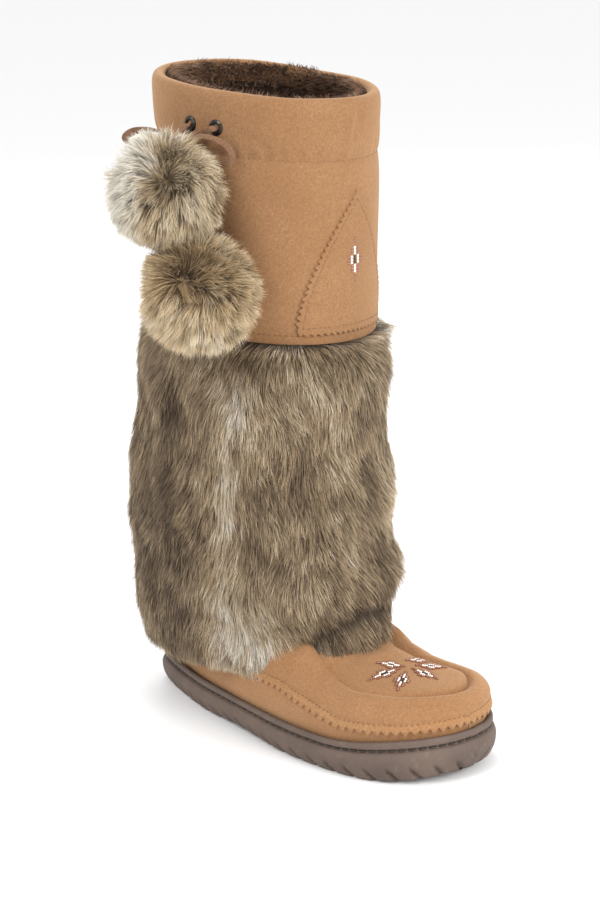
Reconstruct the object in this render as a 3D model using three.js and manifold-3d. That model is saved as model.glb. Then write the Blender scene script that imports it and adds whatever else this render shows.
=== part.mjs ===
// A mukluk boot for the right foot: rubber cup sole, suede moccasin foot, rabbit-fur shaft, suede cuff
// with a drawstring casing, a beaded front patch and two pompoms on the drawstring.
// Millimetres. The boot is drawn with X from the back of the heel towards the toe, Y towards the inner
// side of the foot and Z up from the floor; the whole group is then moved so that the origin is the
// middle of the heel's flat spot.
import * as THREE from "three";
import { mergeVertices } from "three/addons/utils/BufferGeometryUtils.js";
import Module from "manifold-3d";

const wasm = await Module();
wasm.setup();

// ---- driving dimensions -------------------------------------------------------------------------
const LENGTH = 275; // sole length, heel back to toe tip at the lip
const BALL_WIDTH = 106; // sole width at the ball
const HEEL_REST_X = 42; // middle of the heel's flat spot
const GAP = 0.3; // space between pieces that touch
const WALL = 3; // suede with its lining
const LIP_TOP = 21.5; // top of the sole's lip above the floor
const TOE_LIFT = 10; // how much higher the lip is at the toe tip
const FOOTBED = 14; // floor of the cup, where the insole and the upper stand
const LIP_WIDTH = 3.6; // lip, from its outer edge to the upper
const SHAFT_MID_Y = 3.6; // the shaft leans this far to the inner side
const INSOLE_THICK = 5;
const LACE_WIDTH = 3.6;
const POMPOM_RADIUS = 30;
const KNOT_RADIUS = 5;
const TAU = 2 * Math.PI;

// ---- tables: a row for each section --------------------------------------------------------------
// Sole outline: t is the place along the length, outer and inner are its sides' distances from the X axis.
const OUTLINE = [
  { t: 0.0, outer: -4.0, inner: 4.0 },
  { t: 0.011, outer: 8.0, inner: 15.6 },
  { t: 0.044, outer: 16.8, inner: 25.6 },
  { t: 0.097, outer: 23.8, inner: 32.2 },
  { t: 0.168, outer: 30.6, inner: 35.8 },
  { t: 0.254, outer: 37.4, inner: 37.0 },
  { t: 0.351, outer: 42.6, inner: 37.6 },
  { t: 0.454, outer: 47.4, inner: 39.6 },
  { t: 0.559, outer: 51.6, inner: 44.6 },
  { t: 0.662, outer: 53.4, inner: 51.2 },
  { t: 0.758, outer: 52.0, inner: 54.0 },
  { t: 0.842, outer: 47.6, inner: 52.6 },
  { t: 0.911, outer: 38.8, inner: 46.0 },
  { t: 0.961, outer: 26.0, inner: 34.6 },
  { t: 0.991, outer: 9.6, inner: 20.4 },
  { t: 1.0, outer: -5.0, inner: 5.0 },
];
// Profile of the bottom: height of the tread above the floor.
const BOTTOM = [
  { t: 0.0, z: 1.2 },
  { t: 0.05, z: 0.0 },
  { t: 0.28, z: 0.0 },
  { t: 0.4, z: 2.2 },
  { t: 0.5, z: 1.6 },
  { t: 0.58, z: 0.0 },
  { t: 0.82, z: 0.0 },
  { t: 0.91, z: 2.0 },
  { t: 1.0, z: 6.2 },
];
// Sole wall from the tread up and over the lip: h is the part of the wall's height, out is how far it
// stands outside the lip's outline.
const SOLE_WALL = [
  { h: 0.0, out: -2.6 },
  { h: 0.1, out: -0.2 },
  { h: 0.3, out: 1.9 },
  { h: 0.52, out: 2.5 },
  { h: 0.68, out: 1.2 },
  { h: 0.74, out: -1.3 },
  { h: 0.81, out: -1.3 },
  { h: 0.86, out: 0.1 },
  { h: 0.95, out: 0.1 },
  { h: 1.0, out: -1.1 },
  { h: 1.0, out: 0.4 - LIP_WIDTH },
];
// Moccasin foot: crown is the height of its top line, square the squareness of its section.
const FOOT = [
  { t: 0.0, crown: 52, square: 6 },
  { t: 0.1, crown: 66, square: 5 },
  { t: 0.3, crown: 84, square: 3.6 },
  { t: 0.5, crown: 90, square: 3 },
  { t: 0.6, crown: 77, square: 2.8 },
  { t: 0.68, crown: 62.5, square: 2.9 },
  { t: 0.75, crown: 56.5, square: 3.2 },
  { t: 0.82, crown: 54.5, square: 3.3 },
  { t: 0.885, crown: 53, square: 3.2 },
  { t: 0.935, crown: 50.5, square: 2.9 },
  { t: 0.968, crown: 46.5, square: 2.6 },
  { t: 0.988, crown: 41, square: 2.4 },
  { t: 1.0, crown: 35, square: 2.2 },
];
// Shaft: back and front are places along X, half is the half-width, tilt drops the front of the ring.
const SHAFT = [
  { z: 40, back: 8, front: 140, half: 30, tilt: 0 },
  { z: 52, back: 4, front: 152, half: 38, tilt: 0 },
  { z: 66, back: 2, front: 166, half: 47, tilt: 0 },
  { z: 86, back: 0, front: 178, half: 54, tilt: 0 },
  { z: 112, back: 1, front: 184, half: 58, tilt: 0 },
  { z: 150, back: 2, front: 177, half: 59, tilt: 0 },
  { z: 195, back: 8, front: 173, half: 59, tilt: 2 },
  { z: 235, back: 14, front: 172, half: 59.5, tilt: 4 },
  { z: 255, back: 25, front: 171.5, half: 60.2, tilt: 5 },
  { z: 267, back: 31.5, front: 171.2, half: 60.8, tilt: 5.4 },
  { z: 320, back: 28, front: 173.6, half: 61, tilt: 5.8 },
  { z: 362, back: 24.5, front: 175.2, half: 60.8, tilt: 6.2 },
  { z: 376, back: 24, front: 174.9, half: 60, tilt: 6.4 },
  { z: 390, back: 22, front: 176.4, half: 61, tilt: 6.5 },
  { z: 414, back: 20, front: 178, half: 61.2, tilt: 6.7 },
];
// Fur shaft, outside: low and high are the ring's heights at its back and front.
const FUR = [
  { low: 29, high: 44, back: 4, front: 182, half: 44 },
  { low: 33, high: 48, back: -3, front: 187, half: 51 },
  { low: 45, high: 58, back: -9, front: 190, half: 59 },
  { low: 62, high: 72, back: -12, front: 191, half: 65 },
  { low: 84, high: 90, back: -13, front: 193, half: 68 },
  { low: 108, high: 110, back: -12, front: 197, half: 70 },
  { low: 130, high: 130, back: -11, front: 189, half: 70 },
  { low: 160, high: 160, back: -11, front: 187, half: 70 },
  { low: 190, high: 190, back: -3, front: 182, half: 69.5 },
  { low: 212, high: 212, back: 0, front: 183, half: 69.5 },
  { low: 236, high: 234, back: 0, front: 184.5, half: 70 },
  { low: 254, high: 250, back: 6, front: 181, half: 69 },
  { low: 265, high: 257, back: 15, front: 176.5, half: 66.5 },
  { low: 270.5, high: 260, back: 26, front: 173.5, half: 63.5 },
];

// ---- helpers -------------------------------------------------------------------------------------
/** A smooth function of `by` through one column of a table. */
function column(table, by, name) {
  const x = table.map((row) => row[by]);
  const y = table.map((row) => row[name]);
  const slope = x.map((_, i) => {
    const a = Math.max(i - 1, 0);
    const b = Math.min(i + 1, x.length - 1);
    const left = i > 0 ? (y[i] - y[i - 1]) / (x[i] - x[i - 1]) : 0;
    const right = i < x.length - 1 ? (y[i + 1] - y[i]) / (x[i + 1] - x[i]) : 0;
    if (i > 0 && i < x.length - 1 && left * right <= 0) return 0;
    const steepest = 3 * Math.min(Math.abs(left || right), Math.abs(right || left));
    return THREE.MathUtils.clamp((y[b] - y[a]) / (x[b] - x[a]), -steepest, steepest);
  });
  return (at) => {
    let i = 0;
    while (i < x.length - 2 && at > x[i + 1]) i++;
    const width = x[i + 1] - x[i];
    const s = THREE.MathUtils.clamp((at - x[i]) / width, 0, 1);
    return (
      y[i] * (1 + 2 * s) * (1 - s) ** 2 +
      slope[i] * width * s * (1 - s) ** 2 +
      y[i + 1] * s * s * (3 - 2 * s) +
      slope[i + 1] * width * s * s * (s - 1)
    );
  };
}

/** Closed surface through rings with equal numbers of points, each anticlockwise seen from the last one's side. */
function loft(rings, ringsClose = false) {
  const n = rings[0].length;
  const points = rings.flat();
  const index = [];
  const steps = ringsClose ? rings.length : rings.length - 1;
  for (let i = 0; i < steps; i++) {
    const next = (i + 1) % rings.length;
    for (let j = 0; j < n; j++) {
      const k = (j + 1) % n;
      index.push(i * n + j, i * n + k, next * n + k);
      index.push(i * n + j, next * n + k, next * n + j);
    }
  }
  if (!ringsClose) {
    const last = (rings.length - 1) * n;
    // Each end is closed by rungs between the ring's two sides.
    for (let i = 0; i < n / 2 - 1; i++) {
      const [a, b, c, d] = [i, i + 1, n - 2 - i, n - 1 - i];
      index.push(b, a, d, last + a, last + b, last + d);
      if (c > b) index.push(b, d, c, last + b, last + c, last + d);
    }
  }
  const geometry = new THREE.BufferGeometry().setFromPoints(points);
  geometry.setIndex(index);
  return geometry;
}

/** A manifold solid from a three.js geometry. */
function solid(geometry) {
  const bare = geometry.clone();
  bare.deleteAttribute("normal");
  bare.deleteAttribute("uv");
  const merged = mergeVertices(bare, 1e-3);
  return new wasm.Manifold(
    new wasm.Mesh({
      numProp: 3,
      vertProperties: new Float32Array(merged.attributes.position.array),
      triVerts: new Uint32Array(merged.index.array),
    }),
  );
}

function geometryOf(manifold) {
  const made = manifold.getMesh();
  const geometry = new THREE.BufferGeometry();
  geometry.setAttribute("position", new THREE.BufferAttribute(made.vertProperties.slice(), 3));
  geometry.setIndex(new THREE.BufferAttribute(made.triVerts.slice(), 1));
  geometry.computeVertexNormals();
  return geometry;
}

const boot = new THREE.Group();
boot.position.x = -HEEL_REST_X;

function add(name, geometry, material) {
  const mesh = new THREE.Mesh(geometry, material);
  mesh.name = name;
  boot.add(mesh);
  return mesh;
}

const suede = new THREE.MeshStandardMaterial({ color: 0xb98a5e, roughness: 0.95 });
const fur = new THREE.MeshStandardMaterial({ color: 0x8c7c66, roughness: 1 });
const rubber = new THREE.MeshStandardMaterial({ color: 0x5b4a42, roughness: 0.8 });
const fleece = new THREE.MeshStandardMaterial({ color: 0x5a4636, roughness: 1 });
const gunmetal = new THREE.MeshStandardMaterial({ color: 0x3a3634, roughness: 0.35, metalness: 0.9 });

// ---- outsole -------------------------------------------------------------------------------------
const BALL_SCALE = BALL_WIDTH / 106;
const outerHalf = column(OUTLINE, "t", "outer");
const innerHalf = column(OUTLINE, "t", "inner");
const bottomAt = column(BOTTOM, "t", "z");
const lipAt = (t) => LIP_TOP + TOE_LIFT * THREE.MathUtils.smoothstep(t, 0.72, 1.02);

/** Point of the sole outline at an angle round it: 0 at the toe, a half turn at the heel, inner side first. */
function outlinePoint(angle, out = 0) {
  const at = (a) => {
    const t = (1 + Math.cos(a)) / 2;
    const half = Math.sin(a) >= 0 ? innerHalf(t) : -outerHalf(t);
    return new THREE.Vector2(t * LENGTH, half * BALL_SCALE);
  };
  const step = 0.02;
  const along = at(angle + step).sub(at(angle - step)).normalize();
  return at(angle).add(new THREE.Vector2(along.y, -along.x).multiplyScalar(out));
}

const SOLE_POINTS = 56;
// Angles round a ring, in pairs that mirror each other across the X axis.
const angles = (count) => Array.from({ length: count }, (_, i) => ((i + 0.5) * TAU) / count);

/** Ring of the sole: heightAt gives its height from the place along the length. */
function soleRing(out, heightAt) {
  return angles(SOLE_POINTS).map((angle) => {
    const p = outlinePoint(angle, out);
    return new THREE.Vector3(p.x, p.y, heightAt(THREE.MathUtils.clamp(p.x / LENGTH, 0, 1)));
  });
}

const soleRings = [
  ...SOLE_WALL.map((row) =>
    soleRing(row.out, (t) => THREE.MathUtils.lerp(bottomAt(t), lipAt(t), row.h)),
  ),
  soleRing(0.4 - LIP_WIDTH, () => FOOTBED),
];
let outsole = solid(loft(soleRings));

// Tread: wavy grooves across the sole, which run out through the wall's lower edge and lean towards the toe.
const GROOVE_DEPTH = 3.2;
const GROOVE_WIDTH = 3.4;
const GROOVES = { first: 12, pitch: 15.5, count: 17, bend: 12, climb: 8 };

/** Bar that follows a kinked path across the sole and climbs its side at both ends. */
function grooveCutter(x) {
  const t = THREE.MathUtils.clamp(x / LENGTH, 0, 1);
  const floor = bottomAt(t);
  const reach = 1.35 * Math.max(outerHalf(t), innerHalf(t)) + 8;
  const path = [-1, -0.35, 0.35, 1].map(
    (side) => new THREE.Vector3(x + (Math.abs(side) - 0.5) * GROOVES.bend, side * reach, 0),
  );
  return path.map((p, i) => {
    const wide = GROOVE_WIDTH / 2;
    const top = floor + GROOVE_DEPTH + (i === 0 || i === path.length - 1 ? GROOVES.climb : 0);
    return [
      new THREE.Vector3(p.x - wide, p.y, -8),
      new THREE.Vector3(p.x - wide * 0.7, p.y, top),
      new THREE.Vector3(p.x + wide * 0.7, p.y, top),
      new THREE.Vector3(p.x + wide, p.y, -8),
    ];
  });
}
for (let i = 0; i < GROOVES.count; i++) {
  const x = GROOVES.first + i * GROOVES.pitch;
  const clearOfRest = Math.abs(x - HEEL_REST_X) > GROOVES.pitch / 3;
  if (clearOfRest) outsole = outsole.subtract(solid(loft(grooveCutter(x))));
}
add("outsole", geometryOf(outsole), rubber);

// ---- upper: one hollow solid, open at the collar and underneath ----------------------------------
const crownAt = column(FOOT, "t", "crown");
const squareAt = column(FOOT, "t", "square");
const UPPER_BASE = FOOTBED + GAP;
const FOOT_BULGE = 2.4; // the foot stands out this much above the lip
const FOOT_STATIONS = SOLE_POINTS / 2;
const FOOT_ARC = 14;

/** Moccasin foot as a closed form, grown by `grow`, standing on `base`; its sides follow the sole's outline. */
function footForm(grow, base) {
  const rings = [];
  for (let i = 0; i < FOOT_STATIONS; i++) {
    const turn = (1 - (i + 0.5) / FOOT_STATIONS) * Math.PI;
    const innerSide = outlinePoint(turn, grow - LIP_WIDTH);
    const outerSide = outlinePoint(-turn, grow - LIP_WIDTH);
    const t = THREE.MathUtils.clamp(innerSide.x / LENGTH, 0, 1);
    const spring = lipAt(t) + 1; // the side stands straight inside the cup and curves from here
    const height = crownAt(t) + grow - spring;
    const power = 2 / squareAt(t);
    const ring = [new THREE.Vector3(innerSide.x, innerSide.y, base)];
    for (let j = 0; j <= FOOT_ARC; j++) {
      const angle = (Math.PI * j) / FOOT_ARC;
      const across = Math.cos(angle);
      const side = across > 0 ? innerSide.y : outerSide.y;
      const z = spring + height * Math.pow(Math.max(0, Math.sin(angle)), power);
      const rise = THREE.MathUtils.clamp((z - spring) / 34, 0, 1);
      const bulge = FOOT_BULGE * Math.sin(Math.PI * rise) * Math.min(1, Math.abs(side) / 20);
      const y = (side + Math.sign(side) * bulge) * Math.pow(Math.abs(across), power);
      ring.push(new THREE.Vector3(THREE.MathUtils.lerp(outerSide.x, innerSide.x, (1 + across) / 2), y, z));
    }
    ring.push(new THREE.Vector3(outerSide.x, outerSide.y, base));
    rings.push(ring);
  }
  return loft(rings);
}

const SHAFT_POINTS = 36;
const shaftColumn = Object.fromEntries(
  ["back", "front", "half", "tilt"].map((name) => [name, column(SHAFT, "z", name)]),
);

/** Ring of the shaft at a height, grown by `grow`. */
function shaftRing(z, grow, count = SHAFT_POINTS) {
  const back = shaftColumn.back(z) - grow;
  const front = shaftColumn.front(z) + grow;
  const half = shaftColumn.half(z) + grow;
  return angles(count).map((angle) => {
    const x = (front + back) / 2 + ((front - back) / 2) * Math.cos(angle);
    const y = SHAFT_MID_Y + half * Math.sin(angle);
    return new THREE.Vector3(x, y, z - shaftColumn.tilt(z) * Math.cos(angle));
  });
}

/** Shaft as a closed form; `over` carries it past the collar. */
function shaftForm(grow, over = 0) {
  const rings = SHAFT.map((row) => shaftRing(row.z, grow));
  if (over) {
    const collar = SHAFT[SHAFT.length - 1].z;
    rings.push(shaftRing(collar, grow).map((p) => p.setZ(p.z + over)));
  }
  return loft(rings);
}

const upperForm = (grow, over) => solid(shaftForm(grow, over)).add(solid(footForm(grow, UPPER_BASE)));
const inside = solid(shaftForm(-WALL, 12)).add(solid(footForm(-WALL, UPPER_BASE - 6)));
let upper = upperForm(0, 0).subtract(inside);

// ---- eyelets in the casing, on the outer side ----------------------------------------------------
const EYELET = { ring: 5, bore: 2.3, barrel: 3.0, hole: 3.4, flange: 1.3, stand: 0.5 };
const EYELETS = [
  { name: "eyelet_rear", angle: -91, z: 393.5 },
  { name: "eyelet_front", angle: -75.5, z: 392.5 },
];

/** Place and outward direction on the shaft at an angle in degrees and a height. */
function onShaft(angleDegrees, z) {
  const angle = THREE.MathUtils.degToRad(angleDegrees);
  const at = (a) => {
    const long = (shaftColumn.front(z) - shaftColumn.back(z)) / 2;
    const x = (shaftColumn.front(z) + shaftColumn.back(z)) / 2 + long * Math.cos(a);
    return new THREE.Vector3(x, SHAFT_MID_Y + shaftColumn.half(z) * Math.sin(a), z);
  };
  const along = at(angle + 0.01).sub(at(angle - 0.01)).normalize();
  return { place: at(angle), out: new THREE.Vector3(along.y, -along.x, 0) };
}

const upAxis = new THREE.Vector3(0, 1, 0);
for (const { name, angle, z } of EYELETS) {
  const { place, out } = onShaft(angle, z);
  const turn = new THREE.Quaternion().setFromUnitVectors(upAxis, out);
  const hole = new THREE.CylinderGeometry(EYELET.hole, EYELET.hole, 16, 14);
  hole.applyQuaternion(turn).translate(place.x, place.y, place.z);
  upper = upper.subtract(solid(hole));
  const profile = [
    [EYELET.bore, -WALL - 1],
    [EYELET.barrel, -WALL - 1],
    [EYELET.barrel, EYELET.stand],
    [EYELET.ring, EYELET.stand],
    [EYELET.ring, EYELET.stand + EYELET.flange * 0.5],
    [EYELET.ring - 1, EYELET.stand + EYELET.flange],
    [EYELET.bore + 0.6, EYELET.stand + EYELET.flange],
    [EYELET.bore, EYELET.stand + EYELET.flange * 0.5],
    [EYELET.bore, -WALL - 1],
  ].map(([r, y]) => new THREE.Vector2(r, y));
  const eyelet = add(name, new THREE.LatheGeometry(profile, 14), gunmetal);
  eyelet.position.copy(place);
  eyelet.quaternion.copy(turn);
}
add("upper", geometryOf(upper), suede);

// ---- insole --------------------------------------------------------------------------------------
const insoleRing = (out, z) => soleRing(out - LIP_WIDTH - WALL - 2 * GAP, () => z);
const insoleRings = [UPPER_BASE, UPPER_BASE + INSOLE_THICK].map((z) => insoleRing(-0.5, z));
insoleRings.splice(1, 0, insoleRing(-0.2, UPPER_BASE + INSOLE_THICK * 0.7));
add("insole", loft(insoleRings), fleece);

// ---- fur shaft: a sleeve from the instep up to the cuff's hem -------------------------------------
const FUR_POINTS = 32;
const furRings = FUR.map((row) =>
  angles(FUR_POINTS).map((angle) => {
    const ahead = (1 + Math.cos(angle)) / 2;
    const x = THREE.MathUtils.lerp(row.back, row.front, ahead);
    const y = SHAFT_MID_Y * 0.6 + row.half * Math.sin(angle);
    return new THREE.Vector3(x, y, THREE.MathUtils.lerp(row.low, row.high, ahead));
  }),
);
add("fur_shaft", geometryOf(solid(loft(furRings)).subtract(upperForm(GAP, 0))), fur);

// ---- front patch: a thin teardrop of suede on the cuff -------------------------------------------
const PATCH = { apex: 353, shoulder: 311, spread: 0.9, bottom: 272, half: 37, thick: 1.3 };

/** Outline of the patch, seen from the front: pointed at the top and widest at its foot. */
function patchOutline() {
  const shape = new THREE.Shape();
  const mid = SHAFT_MID_Y + 2;
  shape.moveTo(mid, PATCH.apex);
  shape.quadraticCurveTo(mid - PATCH.half * PATCH.spread, PATCH.shoulder, mid - PATCH.half, PATCH.bottom);
  shape.quadraticCurveTo(mid, PATCH.bottom - 9, mid + PATCH.half, PATCH.bottom);
  shape.quadraticCurveTo(mid + PATCH.half * PATCH.spread, PATCH.shoulder, mid, PATCH.apex);
  return shape;
}
const patchPrism = new THREE.ExtrudeGeometry(patchOutline(), {
  depth: 90,
  bevelEnabled: false,
  curveSegments: 8,
});
// The shape's x and y become the boot's Y and Z, and it is extruded along X.
patchPrism.applyMatrix4(
  new THREE.Matrix4().makeBasis(
    new THREE.Vector3(0, 1, 0),
    new THREE.Vector3(0, 0, 1),
    new THREE.Vector3(1, 0, 0),
  ),
);
patchPrism.translate(110, 0, 0);
const patch = solid(shaftForm(GAP + PATCH.thick))
  .subtract(solid(shaftForm(GAP, 12)))
  .intersect(solid(patchPrism));
add("front_patch", geometryOf(patch), suede);

// ---- drawstring: knot, bow loops and ends with their pompoms -------------------------------------
const POMPOMS = {
  pompom_upper: new THREE.Vector3(112, -91, 359),
  pompom_lower: new THREE.Vector3(133, -85, 297.5),
};
const KNOT = new THREE.Vector3(98, -63.5, 383);
const LACES = {
  lace_rear: [
    [98.4, -60.2, 393.2],
    [97.4, -62.6, 392.4],
    [97.2, -63.8, 390.6],
    [97.6, -63.9, 388.9],
  ],
  lace_front: [
    [119.0, -58.6, 392.0],
    [116.4, -61.4, 391.2],
    [111.0, -62.6, 388.6],
    [105.6, -63.2, 386.0],
    [103.4, -63.4, 384.9],
  ],
  lace_loop_front: [
    [104.0, -66.2, 382.6],
    [110.0, -68.6, 386.5],
    [118.0, -69.2, 388.6],
    [127.0, -67.2, 388.0],
    [134.5, -63.0, 384.0],
    [137.2, -60.6, 378.0],
    [133.5, -60.8, 372.6],
    [126.0, -61.6, 372.4],
    [117.0, -62.4, 375.2],
    [109.0, -62.8, 378.2],
    [103.2, -62.9, 380.3],
  ],
  lace_loop_rear: [
    [92.2, -66.4, 385.4],
    [87.6, -70.6, 388.4],
    [81.4, -76.6, 390.4],
    [75.2, -83.2, 389.6],
    [72.0, -87.6, 386.6],
    [71.4, -86.0, 383.2],
    [75.6, -79.6, 382.4],
    [82.4, -72.4, 383.0],
    [89.0, -66.6, 382.0],
    [91.8, -64.6, 380.9],
  ],
  lace_end_upper: [
    [99.8, -66.8, 379.2],
    [100.3, -67.4, 378.4],
    [100.8, -68.0, 377.6],
  ],
  lace_end_lower: [
    [96.2, -63.4, 377.6],
    [92.0, -63.4, 370.0],
    [88.8, -63.6, 358.0],
    [90.4, -64.4, 345.0],
    [98.0, -66.4, 332.4],
    [106.0, -69.6, 323.6],
    [110.4, -71.8, 318.8],
  ],
};
const LACE_SIDES = 8;
const section = new THREE.Shape(
  angles(LACE_SIDES).map(
    (a) => new THREE.Vector2((LACE_WIDTH / 2) * Math.cos(a), (LACE_WIDTH / 2) * Math.sin(a)),
  ),
);
for (const [name, route] of Object.entries(LACES)) {
  const curve = new THREE.CatmullRomCurve3(route.map((p) => new THREE.Vector3(...p)));
  const steps = Math.max(2, Math.round(curve.getLength() / (1.6 * LACE_WIDTH)));
  const tube = new THREE.ExtrudeGeometry(section, { steps, extrudePath: curve, bevelEnabled: false });
  add(name, tube, suede);
}
add("lace_knot", new THREE.SphereGeometry(KNOT_RADIUS, 12, 7), suede).position.copy(KNOT);
for (const [name, centre] of Object.entries(POMPOMS)) {
  add(name, new THREE.SphereGeometry(POMPOM_RADIUS, 16, 9), fur).position.copy(centre);
}

export default boot;
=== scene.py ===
"""Right mukluk boot: fine suede, fur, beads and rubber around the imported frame.

Forms are worked out in millimetres in the boot's own drawing frame: X from the back of the heel towards
the toe, Y towards the inner side of the foot, Z up. row() turns such points into the frame's metres.
"""
import math

import bpy
import numpy as np
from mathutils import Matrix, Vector
from mathutils.bvhtree import BVHTree


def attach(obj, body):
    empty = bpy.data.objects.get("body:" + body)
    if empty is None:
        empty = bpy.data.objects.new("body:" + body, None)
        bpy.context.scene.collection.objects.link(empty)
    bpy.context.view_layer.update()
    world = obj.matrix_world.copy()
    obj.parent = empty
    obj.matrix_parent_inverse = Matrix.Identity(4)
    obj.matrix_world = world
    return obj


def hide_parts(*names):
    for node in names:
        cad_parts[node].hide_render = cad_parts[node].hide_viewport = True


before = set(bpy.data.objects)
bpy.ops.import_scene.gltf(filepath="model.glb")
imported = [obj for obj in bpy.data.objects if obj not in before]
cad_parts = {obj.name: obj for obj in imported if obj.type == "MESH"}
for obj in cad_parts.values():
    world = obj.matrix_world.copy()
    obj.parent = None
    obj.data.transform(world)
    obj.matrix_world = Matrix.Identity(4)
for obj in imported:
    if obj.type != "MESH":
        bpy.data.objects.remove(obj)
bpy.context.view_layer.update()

# ---- driving sizes, millimetres ----
LENGTH = 275.0
HEEL_REST_X = 42.0
LIP_TOP = 21.5
TOE_LIFT = 10.0
LIP_WIDTH = 3.6
FOOTBED = 14.0
FOOT_BULGE = 2.4
SHAFT_MID_Y = 3.6
TAU = 2 * math.pi
DOWN = np.array([0, 0, -1.0])

# The plain forms: t runs along the sole from heel to toe, z is a height, k a row of the fur from its hem.
OUTLINE = {
    "t": [0, 0.011, 0.044, 0.097, 0.168, 0.254, 0.351, 0.454,
          0.559, 0.662, 0.758, 0.842, 0.911, 0.961, 0.991, 1],
    "outer": [-4, 8, 16.8, 23.8, 30.6, 37.4, 42.6, 47.4, 51.6, 53.4, 52, 47.6, 38.8, 26, 9.6, -5],
    "inner": [4, 15.6, 25.6, 32.2, 35.8, 37, 37.6, 39.6, 44.6, 51.2, 54, 52.6, 46, 34.6, 20.4, 5],
}
BOTTOM = {
    "t": [0, 0.05, 0.28, 0.4, 0.5, 0.58, 0.82, 0.91, 1],
    "z": [1.2, 0, 0, 2.2, 1.6, 0, 0, 2, 6.2],
}
FOOT = {
    "t": [0, 0.1, 0.3, 0.5, 0.6, 0.68, 0.75, 0.82, 0.885, 0.935, 0.968, 0.988, 1],
    "crown": [52, 66, 84, 90, 77, 62.5, 56.5, 54.5, 53, 50.5, 46.5, 41, 35],
    "square": [6, 5, 3.6, 3, 2.8, 2.9, 3.2, 3.3, 3.2, 2.9, 2.6, 2.4, 2.2],
}
SHAFT = {
    "z": [40, 52, 66, 86, 112, 150, 195, 235, 255, 267, 320, 362, 376, 390, 414],
    "back": [8, 4, 2, 0, 1, 2, 8, 14, 25, 31.5, 28, 24.5, 24, 22, 20],
    "front": [140, 152, 166, 178, 184, 177, 173, 172, 171.5, 171.2, 173.6, 175.2, 174.9, 176.4, 178],
    "half": [30, 38, 47, 54, 58, 59, 59, 59.5, 60.2, 60.8, 61, 60.8, 60, 61, 61.2],
    "tilt": [0, 0, 0, 0, 0, 0, 2, 4, 5, 5.4, 5.8, 6.2, 6.4, 6.5, 6.7],
}
FUR = {
    "k": list(range(14)),
    "low": [29, 33, 45, 62, 84, 108, 130, 160, 190, 212, 236, 254, 265, 270.5],
    "high": [44, 48, 58, 72, 90, 110, 130, 160, 190, 212, 234, 250, 257, 260],
    "back": [4, -3, -9, -12, -13, -12, -11, -11, -3, 0, 0, 6, 15, 26],
    "front": [182, 187, 190, 191, 193, 197, 189, 187, 182, 183, 184.5, 181, 176.5, 173.5],
    "half": [44, 51, 59, 65, 68, 70, 70, 70, 69.5, 69.5, 70, 69, 66.5, 63.5],
}


def column(table, by, name):
    """A smooth function of `by` through one column of a table, as in the solid model."""
    x, y = np.array(table[by], float), np.array(table[name], float)
    step = np.diff(y) / np.diff(x)
    slope = np.zeros(len(x))
    slope[1:-1] = (y[2:] - y[:-2]) / (x[2:] - x[:-2])
    low = 3 * np.minimum(np.abs(step[:-1]), np.abs(step[1:]))
    slope[1:-1] = np.clip(slope[1:-1], -low, low)
    slope[1:-1][step[:-1] * step[1:] <= 0] = 0
    slope[0], slope[-1] = step[0], step[-1]

    def at(v):
        v = np.asarray(v, float)
        i = np.clip(np.searchsorted(x, v, side="right") - 1, 0, len(x) - 2)
        w = x[i + 1] - x[i]
        s = np.clip((v - x[i]) / w, 0, 1)
        return (
            y[i] * (1 + 2 * s) * (1 - s) ** 2
            + slope[i] * w * s * (1 - s) ** 2
            + y[i + 1] * s * s * (3 - 2 * s)
            + slope[i + 1] * w * s * s * (s - 1)
        )

    return at


outer_half, inner_half = column(OUTLINE, "t", "outer"), column(OUTLINE, "t", "inner")
bottom_at = column(BOTTOM, "t", "z")
crown_at, square_at = column(FOOT, "t", "crown"), column(FOOT, "t", "square")
shaft = {name: column(SHAFT, "z", name) for name in ("back", "front", "half", "tilt")}
fur_row = {name: column(FUR, "k", name) for name in ("low", "high", "back", "front", "half")}


def smoothstep(v, low, high):
    s = np.clip((np.asarray(v, float) - low) / (high - low), 0, 1)
    return s * s * (3 - 2 * s)


def bump(v, middle, width):
    return np.exp(-(((np.asarray(v, float) - middle) / width) ** 2))


def between(v, low, low_end, high, high_end):
    """1 from low_end to high, fading to 0 at low and at high_end."""
    return smoothstep(v, low, low_end) * (1 - smoothstep(v, high, high_end))


def unit(v):
    """Vectors scaled to length 1."""
    return v / np.linalg.norm(v, axis=-1, keepdims=True)


def varied(rng, count, low, spread):
    """Random numbers from low to low + spread."""
    return low + spread * rng.random(count)


def lip_at(t):
    return LIP_TOP + TOE_LIFT * smoothstep(t, 0.72, 1.02)


def row(points):
    """Drawing millimetres to the frame's metres."""
    return (np.asarray(points, float) - [HEEL_REST_X, 0, 0]) / 1000


# ---- smooth noise ----
LATTICE = np.random.default_rng(7).random((32, 32, 32))


def noise(points, size, shift=0.0):
    """Smooth noise from -1 to 1 with cells `size` mm wide; the same for the same point."""
    p = np.asarray(points, float) / size + shift
    base = np.floor(p).astype(int)
    f = p - base
    f = f * f * (3 - 2 * f)
    total = 0
    for corner in range(8):
        d = np.array([corner & 1, corner >> 1 & 1, corner >> 2 & 1])
        i = (base + d) % 32
        weight = np.prod(np.where(d, f, 1 - f), axis=-1)
        total = total + weight * LATTICE[i[..., 0], i[..., 1], i[..., 2]]
    return total * 2 - 1


def noise_way(points, size, shifts):
    """Three noises for each point, as a direction."""
    return np.stack([noise(points, size, shift) for shift in shifts], 1)


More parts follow.
